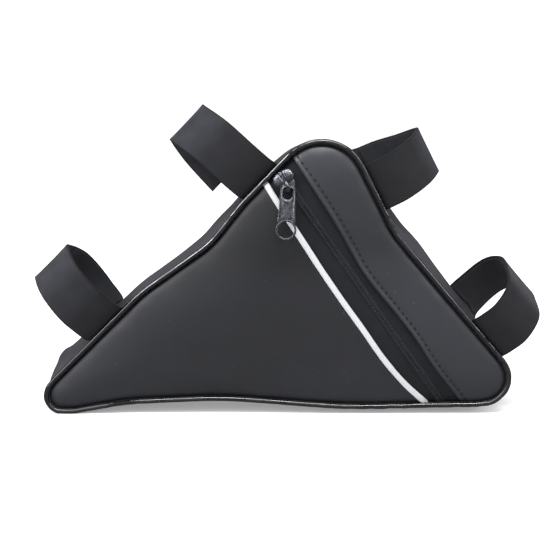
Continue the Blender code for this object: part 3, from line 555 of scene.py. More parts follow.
class BagShape:
    """The bag's lines and surfaces, from its sizes."""

    def __init__(self, sizes):
        self.sizes = sizes
        self.half_depth = sizes.bag_depth / 2
        self.radius = sizes.piping / 2
        self.front_y = sizes.middle_y - self.half_depth
        self.back_y = sizes.middle_y + self.half_depth
        corners = np.array([self.place(row) for row in OUTLINE_CORNERS.values()])
        radii = [row["round"] * sizes.panel_width for row in OUTLINE_CORNERS.values()]
        fine, marks = rounded_polygon(corners, radii)
        closed = np.vstack([fine, fine[:1]])
        lengths = lengths_along(closed)
        line = resampled(closed, round(lengths[-1] / MM) + 1)[:-1]
        reach = np.arange(-12, 13)
        weights = np.exp(-((reach / 4.5) ** 2) / 2)
        line = sum(w * np.roll(line, -k, axis=0) for k, w in zip(reach, weights / weights.sum()))
        line[:, 1] = np.maximum(line[:, 1], self.radius)
        self.fine = np.vstack([line, line[:1]])
        self.lengths = lengths_along(self.fine)
        self.total = self.lengths[-1]
        self.corner_at = dict(zip(OUTLINE_CORNERS, lengths[marks] / lengths[-1] * self.total))
        self.zip_top = self.place(ZIP_TOP)
        bottom = self.place(ZIP_BOTTOM)
        self.zip_length = np.linalg.norm(bottom - self.zip_top)
        self.zip_down = (bottom - self.zip_top) / self.zip_length
        self.zip_across = np.array([-self.zip_down[1], self.zip_down[0]])
        self.tape_level = -(sizes.leather + sizes.layer_gap)

    def place(self, row):
        return np.array([row["across"] * self.sizes.panel_width, row["up"] * self.sizes.panel_height])

    def evenly(self, count):
        """Lengths round the outline, evenly spaced."""
        return np.arange(count) * self.total / count

    def point(self, length):
        """The outline's point at a length round it."""
        return points_at(np.asarray(length) % self.total, self.lengths, self.fine)

    def outward(self, length):
        """The outline's slope over 3 mm, turned a right angle out of the bag."""
        step = 1.5 * MM
        along = unit(self.point(length + step) - self.point(length - step))
        return np.stack([-along[..., 1], along[..., 0]], axis=-1)

    def depth_inside(self, points):
        """The smooth distance from the outline: the distances to all of its points, each to the
        power -5, are added up, and the sum is scaled so that a straight edge gives its own
        distance."""
        flat = np.asarray(points, float).reshape(-1, 2)
        line = self.fine[:-1]
        steps = np.diff(self.lengths)
        sums = []
        for part in np.array_split(flat, max(1, len(flat) // 2000)):
            gaps = ((part[:, None, :] - line) ** 2).sum(-1)
            sums.append((steps * np.maximum(gaps, (0.3 * MM) ** 2) ** -2.5).sum(1))
        return (np.concatenate(sums) * 0.75).reshape(np.shape(points)[:-1]) ** -0.25

    def bell(self, lengths, row, shift=0.0):
        """A bell curve round the outline about a place given after a corner, by the distance
        the shorter way round."""
        place = self.corner_at[row["after"]] + row["along"] * MM + shift
        half = self.total / 2
        away = (lengths - place + half) % self.total - half
        return np.exp(-((away / (row["wide"] * MM)) ** 2))

    def swell(self, length):
        """The side wall's swell at each length round the outline, by straight steps."""
        names = list(OUTLINE_CORNERS)
        places = []
        swells = []
        for name, following in zip(names, names[1:] + names[:1]):
            here = self.corner_at[name]
            there = self.corner_at[following]
            if there < here:
                there += self.total
            row = GUSSET_SWELL[name].values()
            places += [here + (there - here) * k / len(row) for k in range(len(row))]
            swells += [share * self.sizes.bag_depth for share in row]
        spread = np.arange(-3, 4) * 4 * MM
        found = [np.interp((length + d) % self.total, places, swells, period=self.total) for d in spread]
        return sum(found) / len(spread)

    def tuck(self, points):
        """The back outline: each point goes down by the square of its height's share."""
        height = np.clip(points[..., 1] / self.sizes.panel_height, 0, 1)
        lowered = points.copy()
        lowered[..., 1] -= self.sizes.back_tuck * height**2
        return lowered

    def side_wall(self, length, share, extra=0.0):
        """The side wall: a straight line between the two seams, pushed outwards by the swell
        times one minus a power of the distance from the wall's middle, and kept off the floor."""
        length, share = np.broadcast_arrays(length, share)
        front = self.point(length)
        middle = front + (self.tuck(front) - front) * share[..., None]
        rise = 1 - np.abs(2 * share - 1) ** SWELL_POWER
        push = self.swell(length) * rise + extra
        place = middle + self.outward(length) * push[..., None]
        half_wall = self.half_depth - self.radius - SEAM_GAP
        y = self.sizes.middle_y + half_wall * (2 * share - 1)
        return np.stack([place[..., 0], y, np.maximum(place[..., 1], 0)], axis=-1)

    def puff(self, depth, full):
        """A parabola from nothing at the seam to the full swell at its reach, levelled off."""
        share = np.clip(depth / self.sizes.puff_reach, 0, 1)
        return full * (1 - (1 - share) ** 2)

    def plain_skin(self, points, depth, level):
        """The front's place at each (x, z) by the puff of its depth alone, as the solids have it."""
        y = self.front_y - self.sizes.leather / 2 - self.puff(depth, self.sizes.front_puff) - level
        return np.stack([points[..., 0], y, points[..., 1]], axis=-1)

    def front_skin(self, points, level=0.0):
        """The front's place at each (x, z): the puff of its distance from the seam, a steep dive
        beside the seam, two sizes of soft random dents, and puckers near the seam."""
        depth = np.maximum(self.depth_inside(points) - self.radius - SEAM_GAP, -0.5 * MM)
        skin = self.plain_skin(points, depth, level)
        inside = np.maximum(depth, 0)
        near = np.exp(-inside / (7 * MM)) * (1 - np.exp(-inside / (2 * MM)))
        skin[..., 1] += self.sizes.seam_roll * np.exp(-inside / (2.4 * MM))
        skin[..., 1] += (1 - np.exp(-inside / (9 * MM))) * dents(points, FRONT_DENTS)
        skin[..., 1] += near * 0.42 * MM * dapple(points[..., 0], points[..., 1], 8 * MM, 5)
        return skin

    def zip_line(self, name, beside=0.0, inset=SEAM_INSET):
        """One of the lines beside the zip's axis, moved beside itself, from seam to seam."""
        rows = [[row["along"], row[name]] for row in ZIP_LINES]
        fine = smooth_curve(rows, 40)
        places = self.zip_top + fine[:, :1] * self.zip_length * self.zip_down
        places = places + (fine[:, 1:] * self.sizes.zip_zone + beside) * self.zip_across
        depth = self.depth_inside(places) - inset
        depth = np.where(self.contains(places), depth, -np.abs(depth))
        inside = np.flatnonzero(depth > 0)
        first, last = inside[0], inside[-1]
        before = depth[first] / (depth[first] - depth[first - 1])
        after = depth[last] / (depth[last] - depth[last + 1])
        start = places[first] - (places[first] - places[first - 1]) * before
        end = places[last] + (places[last + 1] - places[last]) * after
        return np.vstack([start, places[first : last + 1], end])

    def line_beside(self, name, edge, beside, inset=SEAM_INSET):
        """A line moved by a share of the stripe's half width and by millimetres."""
        return self.zip_line(name, edge * self.sizes.stripe_width / 2 + beside * MM, inset)

    def contains(self, points):
        """Whether a level line from each point crosses the outline an odd number of times."""
        a = self.fine[:-1]
        b = self.fine[1:]
        x, z = points[:, None, 0], points[:, None, 1]
        rises = (a[:, 1] > z) != (b[:, 1] > z)
        height = np.where(a[:, 1] == b[:, 1], 1, b[:, 1] - a[:, 1])
        crossing = a[:, 0] + (z - a[:, 1]) * (b[:, 0] - a[:, 0]) / height
        return (rises & (x < crossing)).sum(1) % 2 == 1

    def zip_point(self, name, from_top):
        """The point of a line at a distance down the zip's axis."""
        rows = np.array([[row["along"], row[name]] for row in ZIP_LINES])
        share = np.interp(from_top / self.zip_length, rows[:, 0], rows[:, 1])
        return self.zip_top + from_top * self.zip_down + share * self.sizes.zip_zone * self.zip_across

    def seam_edge(self, start, end, count, clockwise):
        """The seam line from near one point to near another, one way round."""
        first = self.lengths[np.linalg.norm(self.fine - start, axis=1).argmin()]
        last = self.lengths[np.linalg.norm(self.fine - end, axis=1).argmin()]
        if clockwise and last < first:
            last += self.total
        if not clockwise and last > first:
            last -= self.total
        lengths = np.linspace(first, last, 1200)
        line = self.point(lengths) - self.outward(lengths) * SEAM_INSET
        line[[0, -1]] = start, end
        return resampled(line, count)

    def slider_axes(self):
        """The slider's place and axes: across the zip, up along it and out from the skin that the
        solids have."""
        centre = self.zip_point("coil", SLIDER_FROM_TOP)
        step = self.sizes.slider_length / 4
        around = np.array([centre, centre - self.zip_down * step, centre + self.zip_down * step])
        gaps = np.linalg.norm(around[:, None, :] - self.fine, axis=-1).min(1)
        level = self.tape_level + SLIDER_LIFT
        here, above, below = self.plain_skin(around, gaps - self.radius - SEAM_GAP, level)
        along = unit(above - below)
        across = np.array([self.zip_across[0], 0, self.zip_across[1]])
        outward = unit(np.cross(across, along))
        if outward[1] > 0:
            outward = -outward
        return here, np.array([np.cross(along, outward), along, outward])


def grid_quads(rows, columns, closed_rows=False, closed_columns=False):
    """The faces of a grid of points, as whole arrays of corner numbers."""
    i = np.arange(rows if closed_rows else rows - 1)[:, None]
    j = np.arange(columns if closed_columns else columns - 1)[None, :]
    k = (i + 1) % rows
    m = (j + 1) % columns
    quads = [i * columns + j, i * columns + m, k * columns + m, k * columns + j]
    return np.stack([q + 0 * (i + j) for q in quads], axis=-1).reshape(-1, 4)


def build_piece(
    name, grid, finish, replaces=(), quads=None, body=BAG, uv=None, closed=False, loops=(False, False)
):
    """One piece from a grid of points, or from points and their faces. Loops says whether the
    grid's rows and columns run round. Points that lie on each other are joined, and a closed
    shell gets its faces turned outwards."""
    mesh = bpy.data.meshes.new(name)
    if quads is None:
        quads = grid_quads(*grid.shape[:2], *loops)
    points = np.asarray(grid, np.float32).reshape(-1, 3)
    mesh.vertices.add(len(points))
    mesh.vertices.foreach_set("co", points.ravel())
    mesh.loops.add(quads.size)
    mesh.loops.foreach_set("vertex_index", quads.ravel().astype(np.int32))
    mesh.polygons.add(len(quads))
    mesh.polygons.foreach_set("loop_start", np.arange(0, quads.size, 4, dtype=np.int32))
    mesh.update(calc_edges=True)
    if uv is not None:
        layer = mesh.uv_layers.new(name="UVMap")
        layer.data.foreach_set("uv", np.asarray(uv, np.float32).reshape(-1, 2)[quads.ravel()].ravel())
    work = bmesh.new()
    work.from_mesh(mesh)
    bmesh.ops.remove_doubles(work, verts=work.verts, dist=0.004 * MM)
    if closed:
        bmesh.ops.recalc_face_normals(work, faces=work.faces)
    work.to_mesh(mesh)
    work.free()
    mesh.shade_smooth()
    mesh.materials.append(material(finish))
    piece = bpy.data.objects.new(name, mesh)
    bpy.context.scene.collection.objects.link(piece)
    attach(piece, body)
    if replaces:
        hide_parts(*replaces)
    return piece


def build_threads(name, points, finish, replaces=()):
    """One piece from many capsules."""
    quads = scattered_quads(THREAD_ROWS, THREAD_SIDES, len(points))
    build_piece(name, points, finish, replaces, quads, closed=True)


def read_faces(mesh, name, size):
    values = np.empty(len(mesh.polygons) * size)
    mesh.polygons.foreach_get(name, values)
    return values.reshape(-1, size)


def turned(piece, direction=None):
    """A sheet, turned round if its faces look away from a direction, or without one if they look
    towards the bag's middle."""
    mesh = piece.data
    if direction is None:
        direction = read_faces(mesh, "center", 3) - (0, 0, 0.08)
    if (read_faces(mesh, "normal", 3) * read_faces(mesh, "area", 1) * direction).sum() < 0:
        mesh.flip_normals()
    return piece


def add_wall(piece, wall, offset=-1.0, bevel=0.0):
    """Gives a sheet its thickness, and rounds its edges."""
    solid = piece.modifiers.new("Wall", "SOLIDIFY")
    solid.thickness = wall
    solid.offset = offset
    solid.use_even_offset = False
    if bevel:
        edge = piece.modifiers.new("Edge", "BEVEL")
        edge.width = bevel
        edge.segments = 2
        edge.limit_method = "ANGLE"
        edge.angle_limit = math.radians(50)


def frames_along(line):
    """At each point of a line: its direction, the side, and the direction out of the bag's front
    at right angles to both."""
    along = unit(np.gradient(line, axis=0))
    out = unit(np.array(FRONT, float) - along * (along @ np.array(FRONT, float))[:, None])
    return np.stack([along, np.cross(out, along), out], axis=1)


def carried(line, frames, profile):
    """A profile of (side, out) pairs carried along a line: a row of points at each place."""
    side = profile[..., 0:1] * frames[:, None, 1]
    out = profile[..., 1:2] * frames[:, None, 2]
    return line[:, None, :] + side + out


def scattered(template, origins, frames):
    """Copies of a small grid of (along, side, out) points, one at each origin."""
    flat = template.reshape(-1, 3)
    return origins[:, None, :] + np.einsum("pk,nkx->npx", flat, frames)


def scattered_quads(rows, columns, copies, closed_rows=False):
    """The faces of so many grids, whose columns run round."""
    shift = np.arange(copies)[:, None, None] * rows * columns
    return (grid_quads(rows, columns, closed_rows, True)[None] + shift).reshape(-1, 4)


def capsule(length, radius, sag):
    """A short thread: a circle carried along, shrinking to nothing at both ends, and sagging by
    the square of the distance from its middle."""
    turn = np.linspace(0, math.pi, THREAD_ROWS)[:, None]
    along = -np.cos(turn) * length / 2
    thick = radius * np.sin(turn) ** 0.6
    thick[[0, -1]] = 0
    around = thick[..., None] * circle(whole_turn(THREAD_SIDES))
    drop = sag * (along / (length / 2)) ** 2
    return np.stack([along + 0 * around[..., 0], around[..., 0], around[..., 1] - drop], axis=-1)


def pebble(size, squareness):
    """A superellipsoid: the sines and cosines of latitude and longitude, each to a power under
    one, times half of the size each way."""
    latitude = np.linspace(-math.pi / 2, math.pi / 2, PEBBLE_ROWS)[:, None]
    longitude = whole_turn(PEBBLE_SIDES)
    ring = signed_power(np.cos(latitude), squareness[0])
    ring[[0, -1]] = 0
    x = ring * signed_power(np.cos(longitude), squareness[1]) * size[0] / 2
    y = ring * signed_power(np.sin(longitude), squareness[1]) * size[1] / 2
    z = signed_power(np.sin(latitude), squareness[0]) * size[2] / 2
    return np.stack(np.broadcast_arrays(x, y, z), axis=-1)


class Finish:
    """One material's nodes, which all read Object coordinates or a UV map."""

    def __init__(self, name, colour, roughness, metallic=0.0, specular=0.5, space="Object"):
        self.material = bpy.data.materials.new(name)
        self.material.use_nodes = True
        self.tree = self.material.node_tree
        self.shader = self.tree.nodes["Principled BSDF"]
        self.colour = tuple(colour)
        self.material.diffuse_color = (*self.colour, 1)
        self.set(
            Base_Color=(*self.colour, 1), Roughness=roughness,
            Metallic=metallic, Specular_IOR_Level=specular,
        )
        self.space = self.add("ShaderNodeTexCoord").outputs[space]

    def add(self, kind, inputs=(), **settings):
        node = self.tree.nodes.new(kind)
        for key, value in settings.items():
            setattr(node, key, value)
        for key, value in dict(inputs).items():
            self.put(value, node.inputs[key])
        return node

    def put(self, value, socket):
        if isinstance(value, bpy.types.NodeSocket):
            self.tree.links.new(value, socket)
        else:
            socket.default_value = value

    def set(self, **sockets):
        for key, value in sockets.items():
            self.put(value, self.shader.inputs[key.replace("_", " ")])
        return self.material

    def scaled(self, size):
        """Coordinates in units of a size in metres, or of one size for each axis."""
        size = (size,) * 3 if isinstance(size, float) else size
        scale = tuple(1 / s for s in size)
        return self.add("ShaderNodeMapping", {"Vector": self.space, "Scale": scale}).outputs[0]

    def noise(self, size, detail=3.0, rough=0.5):
        found = {"Vector": self.scaled(size), "Scale": 1.0, "Detail": detail, "Roughness": rough}
        return self.add("ShaderNodeTexNoise", found).outputs["Fac"]

    def cells(self, size, output="Distance"):
        found = {"Vector": self.scaled(size), "Scale": 1.0}
        return self.add("ShaderNodeTexVoronoi", found, feature="F1").outputs[output]

    def waves(self, size, way):
        found = {"Vector": self.scaled(size), "Scale": 0.5, "Distortion": 0.0}
        return self.add("ShaderNodeTexWave", found, bands_direction=way).outputs["Fac"]

    def maths(self, operation, a, b=0.0):
        return self.add("ShaderNodeMath", {0: a, 1: b}, operation=operation).outputs[0]

    def ranged(self, value, low, high, to_low=0.0, to_high=1.0):
        found = {"Value": value, "From Min": low, "From Max": high, "To Min": to_low, "To Max": to_high}
        return self.add("ShaderNodeMapRange", found).outputs[0]

    def mixed(self, share, a, b):
        node = self.add("ShaderNodeMix", data_type="RGBA")
        self.put(share, node.inputs[0])
        self.put(a if isinstance(a, bpy.types.NodeSocket) else (*a, 1), node.inputs[6])
        self.put(b if isinstance(b, bpy.types.NodeSocket) else (*b, 1), node.inputs[7])
        return node.outputs[2]

    def shade(self, factor):
        return tuple(min(1, c * factor) for c in self.colour)

    def shades(self, value, low, high, dark, pale):
        """From a dark to a pale shade of the colour, as a value goes from low to high."""
        return self.mixed(self.ranged(value, low, high), self.shade(dark), self.shade(pale))

    def tinted(self, tone, factor, *ranged):
        """A tone with a shade of the colour mixed in, by the share that a ranged value gives."""
        return self.mixed(self.ranged(*ranged), tone, self.shade(factor))

    def bump(self, height, depth, strength=1.0, under=None):
        found = {"Height": height, "Distance": depth, "Strength": strength}
        if under is not None:
            found["Normal"] = under
        return self.add("ShaderNodeBump", found).outputs[0]


def leather(name, colour, roughness, painted_light=()):
    """Matt synthetic leather: cells under half a millimetre for the grain, broad clouds of tone
    and gloss, fine scuffs, and a few specks of dust. The given rows paint light and shade by
    share of the height, a little uneven, and the UV map's first value, the distance from the
    seam, paints shade beside the seam, where the piping shades the leather."""
    finish = Finish(name, colour, roughness, specular=0.45)
    grain = finish.cells(0.55 * MM)
    clouds = finish.noise(0.055, 4.0, 0.55)
    wide = finish.noise(0.16, 2.0)
    specks = finish.maths("LESS_THAN", finish.cells(7.0 * MM), 0.06)
    chosen = finish.maths("GREATER_THAN", finish.cells(7.0 * MM, "Color"), 0.62)
    dust = finish.maths("MULTIPLY", specks, chosen)
    tone = finish.shades(clouds, 0.3, 0.7, 0.86, 1.16)
    tone = finish.tinted(tone, 0.72, grain, 0.0, 0.5, 0.45, 0.0)
    tone = finish.mixed(finish.maths("MULTIPLY", dust, 0.25), tone, (0.18, 0.18, 0.19))
    # Painted light and shade by height: paler where the surface turns up to the top light, darker where
    # it turns away.
    if painted_light:
        height = finish.add("ShaderNodeSeparateXYZ", {0: finish.space}).outputs[2]
        uneven = finish.ranged(wide, 0, 1, -0.03, 0.03)
        height = finish.maths("ADD", finish.ranged(height, 0, 0.2), uneven)
        pale = finish.add("ShaderNodeValToRGB", {0: height})
        pale.color_ramp.interpolation = "EASE"
        for stop, (share, level) in zip([*pale.color_ramp.elements], [painted_light[0], painted_light[-1]]):
            stop.position, stop.color = share, (level, level, level, 1)
        for share, level in painted_light[1:-1]:
            pale.color_ramp.elements.new(share).color = (level, level, level, 1)
        painted_scale = {0: tone, "Scale": finish.ranged(pale.outputs[0], 0, 1, 0.5, 1.5)}
        tone = finish.add("ShaderNodeVectorMath", painted_scale, operation="SCALE").outputs[0]
        # Painted shade beside the seam, where the piping shades the leather.
        seam = finish.add("ShaderNodeTexCoord").outputs["UV"]
        seam = finish.add("ShaderNodeSeparateXYZ", {0: seam}).outputs[0]
        tone = finish.tinted(tone, 0.22, seam, 1.5 * MM, 6.5 * MM, 0.8, 0.0)
    rough = finish.ranged(clouds, 0.3, 0.7, roughness + 0.05, roughness - 0.05)
    rough = finish.maths("ADD", rough, finish.ranged(wide, 0.35, 0.65, -0.03, 0.03))
    under = finish.bump(finish.noise(0.25 * MM, 2.0), 0.03 * MM, 0.35)
    return finish.set(Base_Color=tone, Roughness=rough, Normal=finish.bump(grain, 0.05 * MM, 0.5, under))


def gloss_vinyl(name, colour):
    """Glossy black vinyl over a cord: soft dents, scuffs, and stretches where its shine is dull."""
    finish = Finish(name, colour, 0.16, specular=1.0)
    scuffs = finish.noise(0.7 * MM)
    rough = finish.ranged(finish.noise(17.0 * MM, 2.0), 0.47, 0.60, 0.07, 0.42)
    rough = finish.maths("ADD", rough, finish.ranged(scuffs, 0.35, 0.75, 0.0, 0.12))
    tone = finish.tinted(colour, 2.2, scuffs, 0.6, 0.8, 0, 0.5)
    normal = finish.bump(finish.noise(5.0 * MM, 2.0), 0.35 * MM, 0.5)
    finish.set(Coat_Weight=0.30, Coat_IOR=1.6, Coat_Roughness=0.10)
    return finish.set(Base_Color=tone, Roughness=rough, Normal=normal)


def woven(name, colour, across, along, pile, roughness=0.85, root=0.0, wide=0.0):
    """Woven cloth: two sets of sine waves at right angles over the UV map, in metres, with
    random pile between them, darker along the two edges of the given width, with painted shade
    over the given length from the start of the map, where the strap meets the bag, and a painted
    sheen in random patches on the fold after the shaded start."""
    finish = Finish(name, colour, roughness, specular=0.25, space="UV")
    warp = finish.waves((across, 1.0, 1.0), "X")
    weft = finish.waves((1.0, along, 1.0), "Y")
    weave = finish.maths("MULTIPLY", finish.maths("MULTIPLY", warp, weft), 1 - pile)
    fuzz = finish.maths("MULTIPLY", finish.noise(0.35 * MM, 3.0, 0.6), pile)
    height = finish.maths("ADD", weave, fuzz)
    clouds = finish.noise(0.012, 4.0, 0.6)
    tone = finish.shades(height, 0.2, 0.8, 0.74, 1.2)
    tone = finish.tinted(tone, 1.5, clouds, 0.35, 0.65, 0.0, 0.4)
    if root:
        beside, place, _ = finish.add("ShaderNodeSeparateXYZ", {0: finish.space}).outputs
        # Painted shade over the root length, where the strap meets the bag.
        tone = finish.tinted(tone, 0.35, place, 0.0, root, 0.55, 0.0)
        # Painted sheen on the strap's fold, where it turns up to the light, in random patches.
        painted_light = finish.maths("MULTIPLY", finish.ranged(place, 1.2 * root, 1.8 * root, 0, 0.9), clouds)
        tone = finish.mixed(painted_light, tone, finish.shade(3.5))
        beside = finish.maths("ABSOLUTE", finish.maths("SUBTRACT", beside, wide / 2))
        tone = finish.tinted(tone, 0.2, beside, wide / 2 - 1.2 * MM, wide / 2 - 0.6 * MM, 0.0, 0.75)
    finish.set(Sheen_Weight=0.05, Sheen_Roughness=0.5)
    return finish.set(Base_Color=tone, Normal=finish.bump(height, 0.09 * MM, 0.6))


def plain_thread(name, colour, roughness):
    """Twisted thread or nylon: slanted fine ridges by noise squeezed along one axis."""
    finish = Finish(name, colour, roughness, specular=0.4)
    ridges = finish.noise((0.12 * MM, 0.12 * MM, 0.4 * MM), 2.0)
    tone = finish.shades(ridges, 0.3, 0.7, 0.7, 1.4)
    return finish.set(Base_Color=tone, Normal=finish.bump(ridges, 0.04 * MM, 0.5))


def plated_metal(name, colour):
    """Dark plated die-cast metal: pitted and mottled by noise, with duller stretches."""
    finish = Finish(name, colour, 0.32, metallic=1.0)
    pits = finish.noise(0.8 * MM, 3.0, 0.65)
    tone = finish.shades(pits, 0.35, 0.65, 0.34, 1.42)
    rough = finish.ranged(finish.noise(2.4 * MM, 2.0), 0.3, 0.7, 0.22, 0.46)
    return finish.set(Base_Color=tone, Roughness=rough, Normal=finish.bump(pits, 0.30 * MM, 0.7))


def reflective_film(name, colour):
    """Pale reflective film over a cord: even and bright, with faint grey rubs along it."""
    finish = Finish(name, colour, 0.42)
    rubs = finish.noise((1.2 * MM, 1.2 * MM, 5.0 * MM))
    tone = finish.tinted(colour, 0.62, rubs, 0.6, 0.85, 0, 0.55)
    return finish.set(Base_Color=tone, Normal=finish.bump(finish.cells(0.3 * MM), 0.03 * MM, 0.3))


def floor_paper(name, colour):
    """A plain matt floor, lit a little from below, with a barely uneven surface."""
    finish = Finish(name, colour, 0.9, specular=0.2)
    finish.set(Emission_Color=(1, 1, 1, 1), Emission_Strength=0.26)
    return finish.set(Normal=finish.bump(finish.noise(0.02, 2.0), 0.1 * MM, 0.1))


def material(name):
    """The named finish, made once."""
    found = bpy.data.materials.get("bag_" + name)
    if found:
        return found
    scene = bpy.context.scene
    colours = scene.bag_finish
    # Painted light: the upper panel is the same leather as the lower one, made paler where the top light
    # falls on it.
    painted_lit_panel = tuple(c * 1.28 for c in colours.panel)
    pale_strap = tuple(c * 1.8 for c in colours.strap)
    # Root is the length of painted shade where each strap meets the bag.
    edges = {"root": 34 * MM, "wide": scene.bag_sizes.strap_width}
    makers = {
        "panel": lambda n: leather(n, colours.panel, 0.55),
        "panel_lower": lambda n: leather(n, colours.panel, 0.55, PAINTED_LIGHT_LOWER),
        "panel_upper": lambda n: leather(n, painted_lit_panel, 0.47, PAINTED_LIGHT_UPPER),
        "gusset": lambda n: leather(n, colours.gusset, 0.46),
        "piping": lambda n: gloss_vinyl(n, colours.piping),
        "tape": lambda n: woven(n, colours.tape, 0.9 * MM, 0.6 * MM, 0.3, 0.8),
        "coil": lambda n: plain_thread(n, colours.coil, 0.42),
        "thread": lambda n: plain_thread(n, colours.thread, 0.7),
        "metal": lambda n: plated_metal(n, colours.metal),
        "stripe": lambda n: reflective_film(n, colours.stripe),
        "strap": lambda n: woven(n, colours.strap, 1.1 * MM, 0.8 * MM, 0.6, **edges),
        "hook": lambda n: woven(n, pale_strap, 1.5 * MM, 1.5 * MM, 0.7),
        "floor": lambda n: floor_paper(n, colours.floor),
    }
    return makers[name]("bag_" + name)


def make_front_panel(shape, side, start, edge_rows):
    """A front panel: lines beside the zip for its edge, then straight rows from the last of them
    to the seam, closer together near the seam, all laid on the front's skin. Its map has each
    point's distance from the seam line, and its height."""
    line, columns, rows, power, wall = FRONT_PANELS[side].values()
    lines = [shape.zip_line(line, start + row["beside"] * MM) for row in edge_rows]
    edge = [
        shape.front_skin(resampled(line, columns), row["level"] * MM)
        for line, row in zip(lines, edge_rows)
    ]
    around = shape.seam_edge(lines[-1][0], lines[-1][-1], columns, side == "upper")
    shares = 1 - (1 - np.linspace(0, 1, rows)[1:, None, None]) ** power
    last = resampled(lines[-1], columns)
    grid = np.concatenate([edge, shape.front_skin(last + (around - last) * shares)])
    piece = build_piece(
        f"panel_{side}_leather", grid, "panel_" + side, ["front_panel_" + side],
        uv=np.stack([shape.depth_inside(grid[..., [0, 2]]), grid[..., 2]], axis=-1),
    )
    add_wall(turned(piece, FRONT), shape.sizes.leather * wall)


def make_front_panels(shape):
    """The lower panel, hemmed beside the stripe, and the upper one, folded over beside the zip."""
    make_front_panel(shape, "lower", 0.1 * MM - shape.sizes.stripe_width / 2, HEM_EDGE)
    make_front_panel(shape, "upper", 0.0, FOLD_EDGE)


def make_panel_back(shape):
    """The back panel: rings from the seam in to its middle, puffed like the front."""
    lengths = shape.evenly(BACK_COLUMNS)
    edge = shape.point(lengths) - shape.outward(lengths) * SEAM_INSET
    middle = shape.place(BACK_MIDDLE)
    shares = (1 - np.linspace(0, 1, BACK_ROWS) ** 1.9)[:, None, None]
    flat = middle + (edge - middle) * shares
    depth = np.maximum(shape.depth_inside(flat) - shape.radius, 0)
    soft = 1 - np.exp(-depth / (9 * MM))
    y = shape.back_y + shape.sizes.leather / 2 + shape.puff(depth, shape.sizes.back_puff)
    y = y - shape.sizes.seam_roll * np.exp(-depth / (3.0 * MM)) + soft * dents(flat, BACK_DENTS)
    placed = shape.tuck(flat)
    grid = np.stack([placed[..., 0], y, placed[..., 1]], axis=-1)
    piece = build_piece(
        "panel_back_leather", grid, "panel", ["back_panel"], loops=(False, True)
    )
    add_wall(turned(piece, BACK), shape.sizes.leather * 0.6)


def make_gusset(shape):
    """The side wall: the wall's formula with long soft waves, puckers that fade away from both
    seams, and a table of slanting pinches, each a bell curve. Its edges turn in past the seams."""
    lengths = shape.evenly(GUSSET_ROWS)[:, None]
    between = (1 - np.cos(np.linspace(0, math.pi, GUSSET_COLUMNS))) / 2
    shares = np.concatenate([[-0.03, -0.015], between, [1.015, 1.03]])
    share = np.clip(shares, 0, 1)
    across = share * shape.sizes.bag_depth
    over = shares - share
    rise = 1 - np.abs(2 * share - 1) ** SWELL_POWER
    seam = np.minimum(share, 1 - share) * shape.sizes.bag_depth
    waves = 0.30 * MM * wander(lengths, shape.total, 34 * MM, 21) * rise
    waves = waves + 0.22 * MM * dapple(lengths, across, 15 * MM, 22) * rise
    puckers = 0.5 * MM * wander(lengths, shape.total, 6.5 * MM, 23) * np.exp(-seam / (5 * MM))
    extra = waves + puckers * (1 - np.exp(-seam / (1.2 * MM)))
    for row in GUSSET_PINCHES:
        shift = row["lean"] * (share - 0.5) * shape.sizes.bag_depth
        extra = extra - row["deep"] * MM * shape.bell(lengths, row, shift) * rise
    grid = shape.side_wall(lengths, share, extra - 40 * MM * np.abs(over))
    grid[..., 1] += over * shape.sizes.bag_depth
    piece = build_piece(
        "gusset_leather", grid, "gusset", ["gusset"], loops=(True, False)
    )
    add_wall(turned(piece), 1.2 * MM)


def make_piping(shape):
    """Both pipings: a circle carried round the outline, with its radius and centre wandering a
    little, and more where a table says that it is crumpled."""
    lengths = shape.evenly(PIPING_ROWS)
    crumple = 0.10
    for row in PIPING_CRUMPLES:
        crumple = crumple + row["deep"] * shape.bell(lengths, row)
    angle = whole_turn(PIPING_SIDES)
    base = shape.point(lengths)
    out = shape.outward(lengths)
    for name, y, line, seed in (
        ("front_piping", shape.front_y, base, 31),
        ("back_piping", shape.back_y, shape.tuck(base), 41),
    ):
        sway = crumple * MM * 0.55 * wander(lengths, shape.total, 5 * MM, seed)
        lift = crumple * MM * 0.8 * wander(lengths, shape.total, 6.5 * MM, seed + 1)
        thick = shape.radius * (1 + 0.22 * crumple * wander(lengths, shape.total, 3.2 * MM, seed + 2))
        ring = thick[:, None] * np.cos(angle)
        flat = (line + out * sway[:, None])[:, None] + out[:, None] * ring[..., None]
        depth = y + lift[:, None] + thick[:, None] * np.sin(angle)
        grid = np.stack([flat[..., 0], depth, np.maximum(flat[..., 1], 0)], axis=-1)
        build_piece(
            name + "_vinyl", grid, "piping", [name], closed=True, loops=(True, True)
        )


def make_zip_tapes(shape):
    """The zip's two tapes: straight rows between the lines beside the zip, sagging a little
    between the stripe, the teeth and the fold."""
    along = np.linspace(0, shape.zip_length, TAPE_COLUMNS)
    share = np.linspace(0, 1, TAPE_ROWS)[:, None]
    for name, row in ZIP_TAPES.items():
        a, b = (resampled(shape.line_beside(*row[end]), TAPE_COLUMNS) for end in ("start", "end"))
        flat = a * (1 - share[..., None]) + b * share[..., None]
        sag = 0.35 * MM * np.sin(share * math.pi)
        sag = sag + 0.12 * MM * dapple(flat[..., 0], flat[..., 1], 12 * MM, 51)
        grid = shape.front_skin(flat, shape.tape_level - sag)
        width = np.linalg.norm(a - b, axis=1).mean()
        piece = build_piece(
            name + "_cloth", grid, "tape", [name], uv=paired(share * width, along)
        )
        add_wall(turned(piece, FRONT), shape.sizes.tape_wall * 0.8)


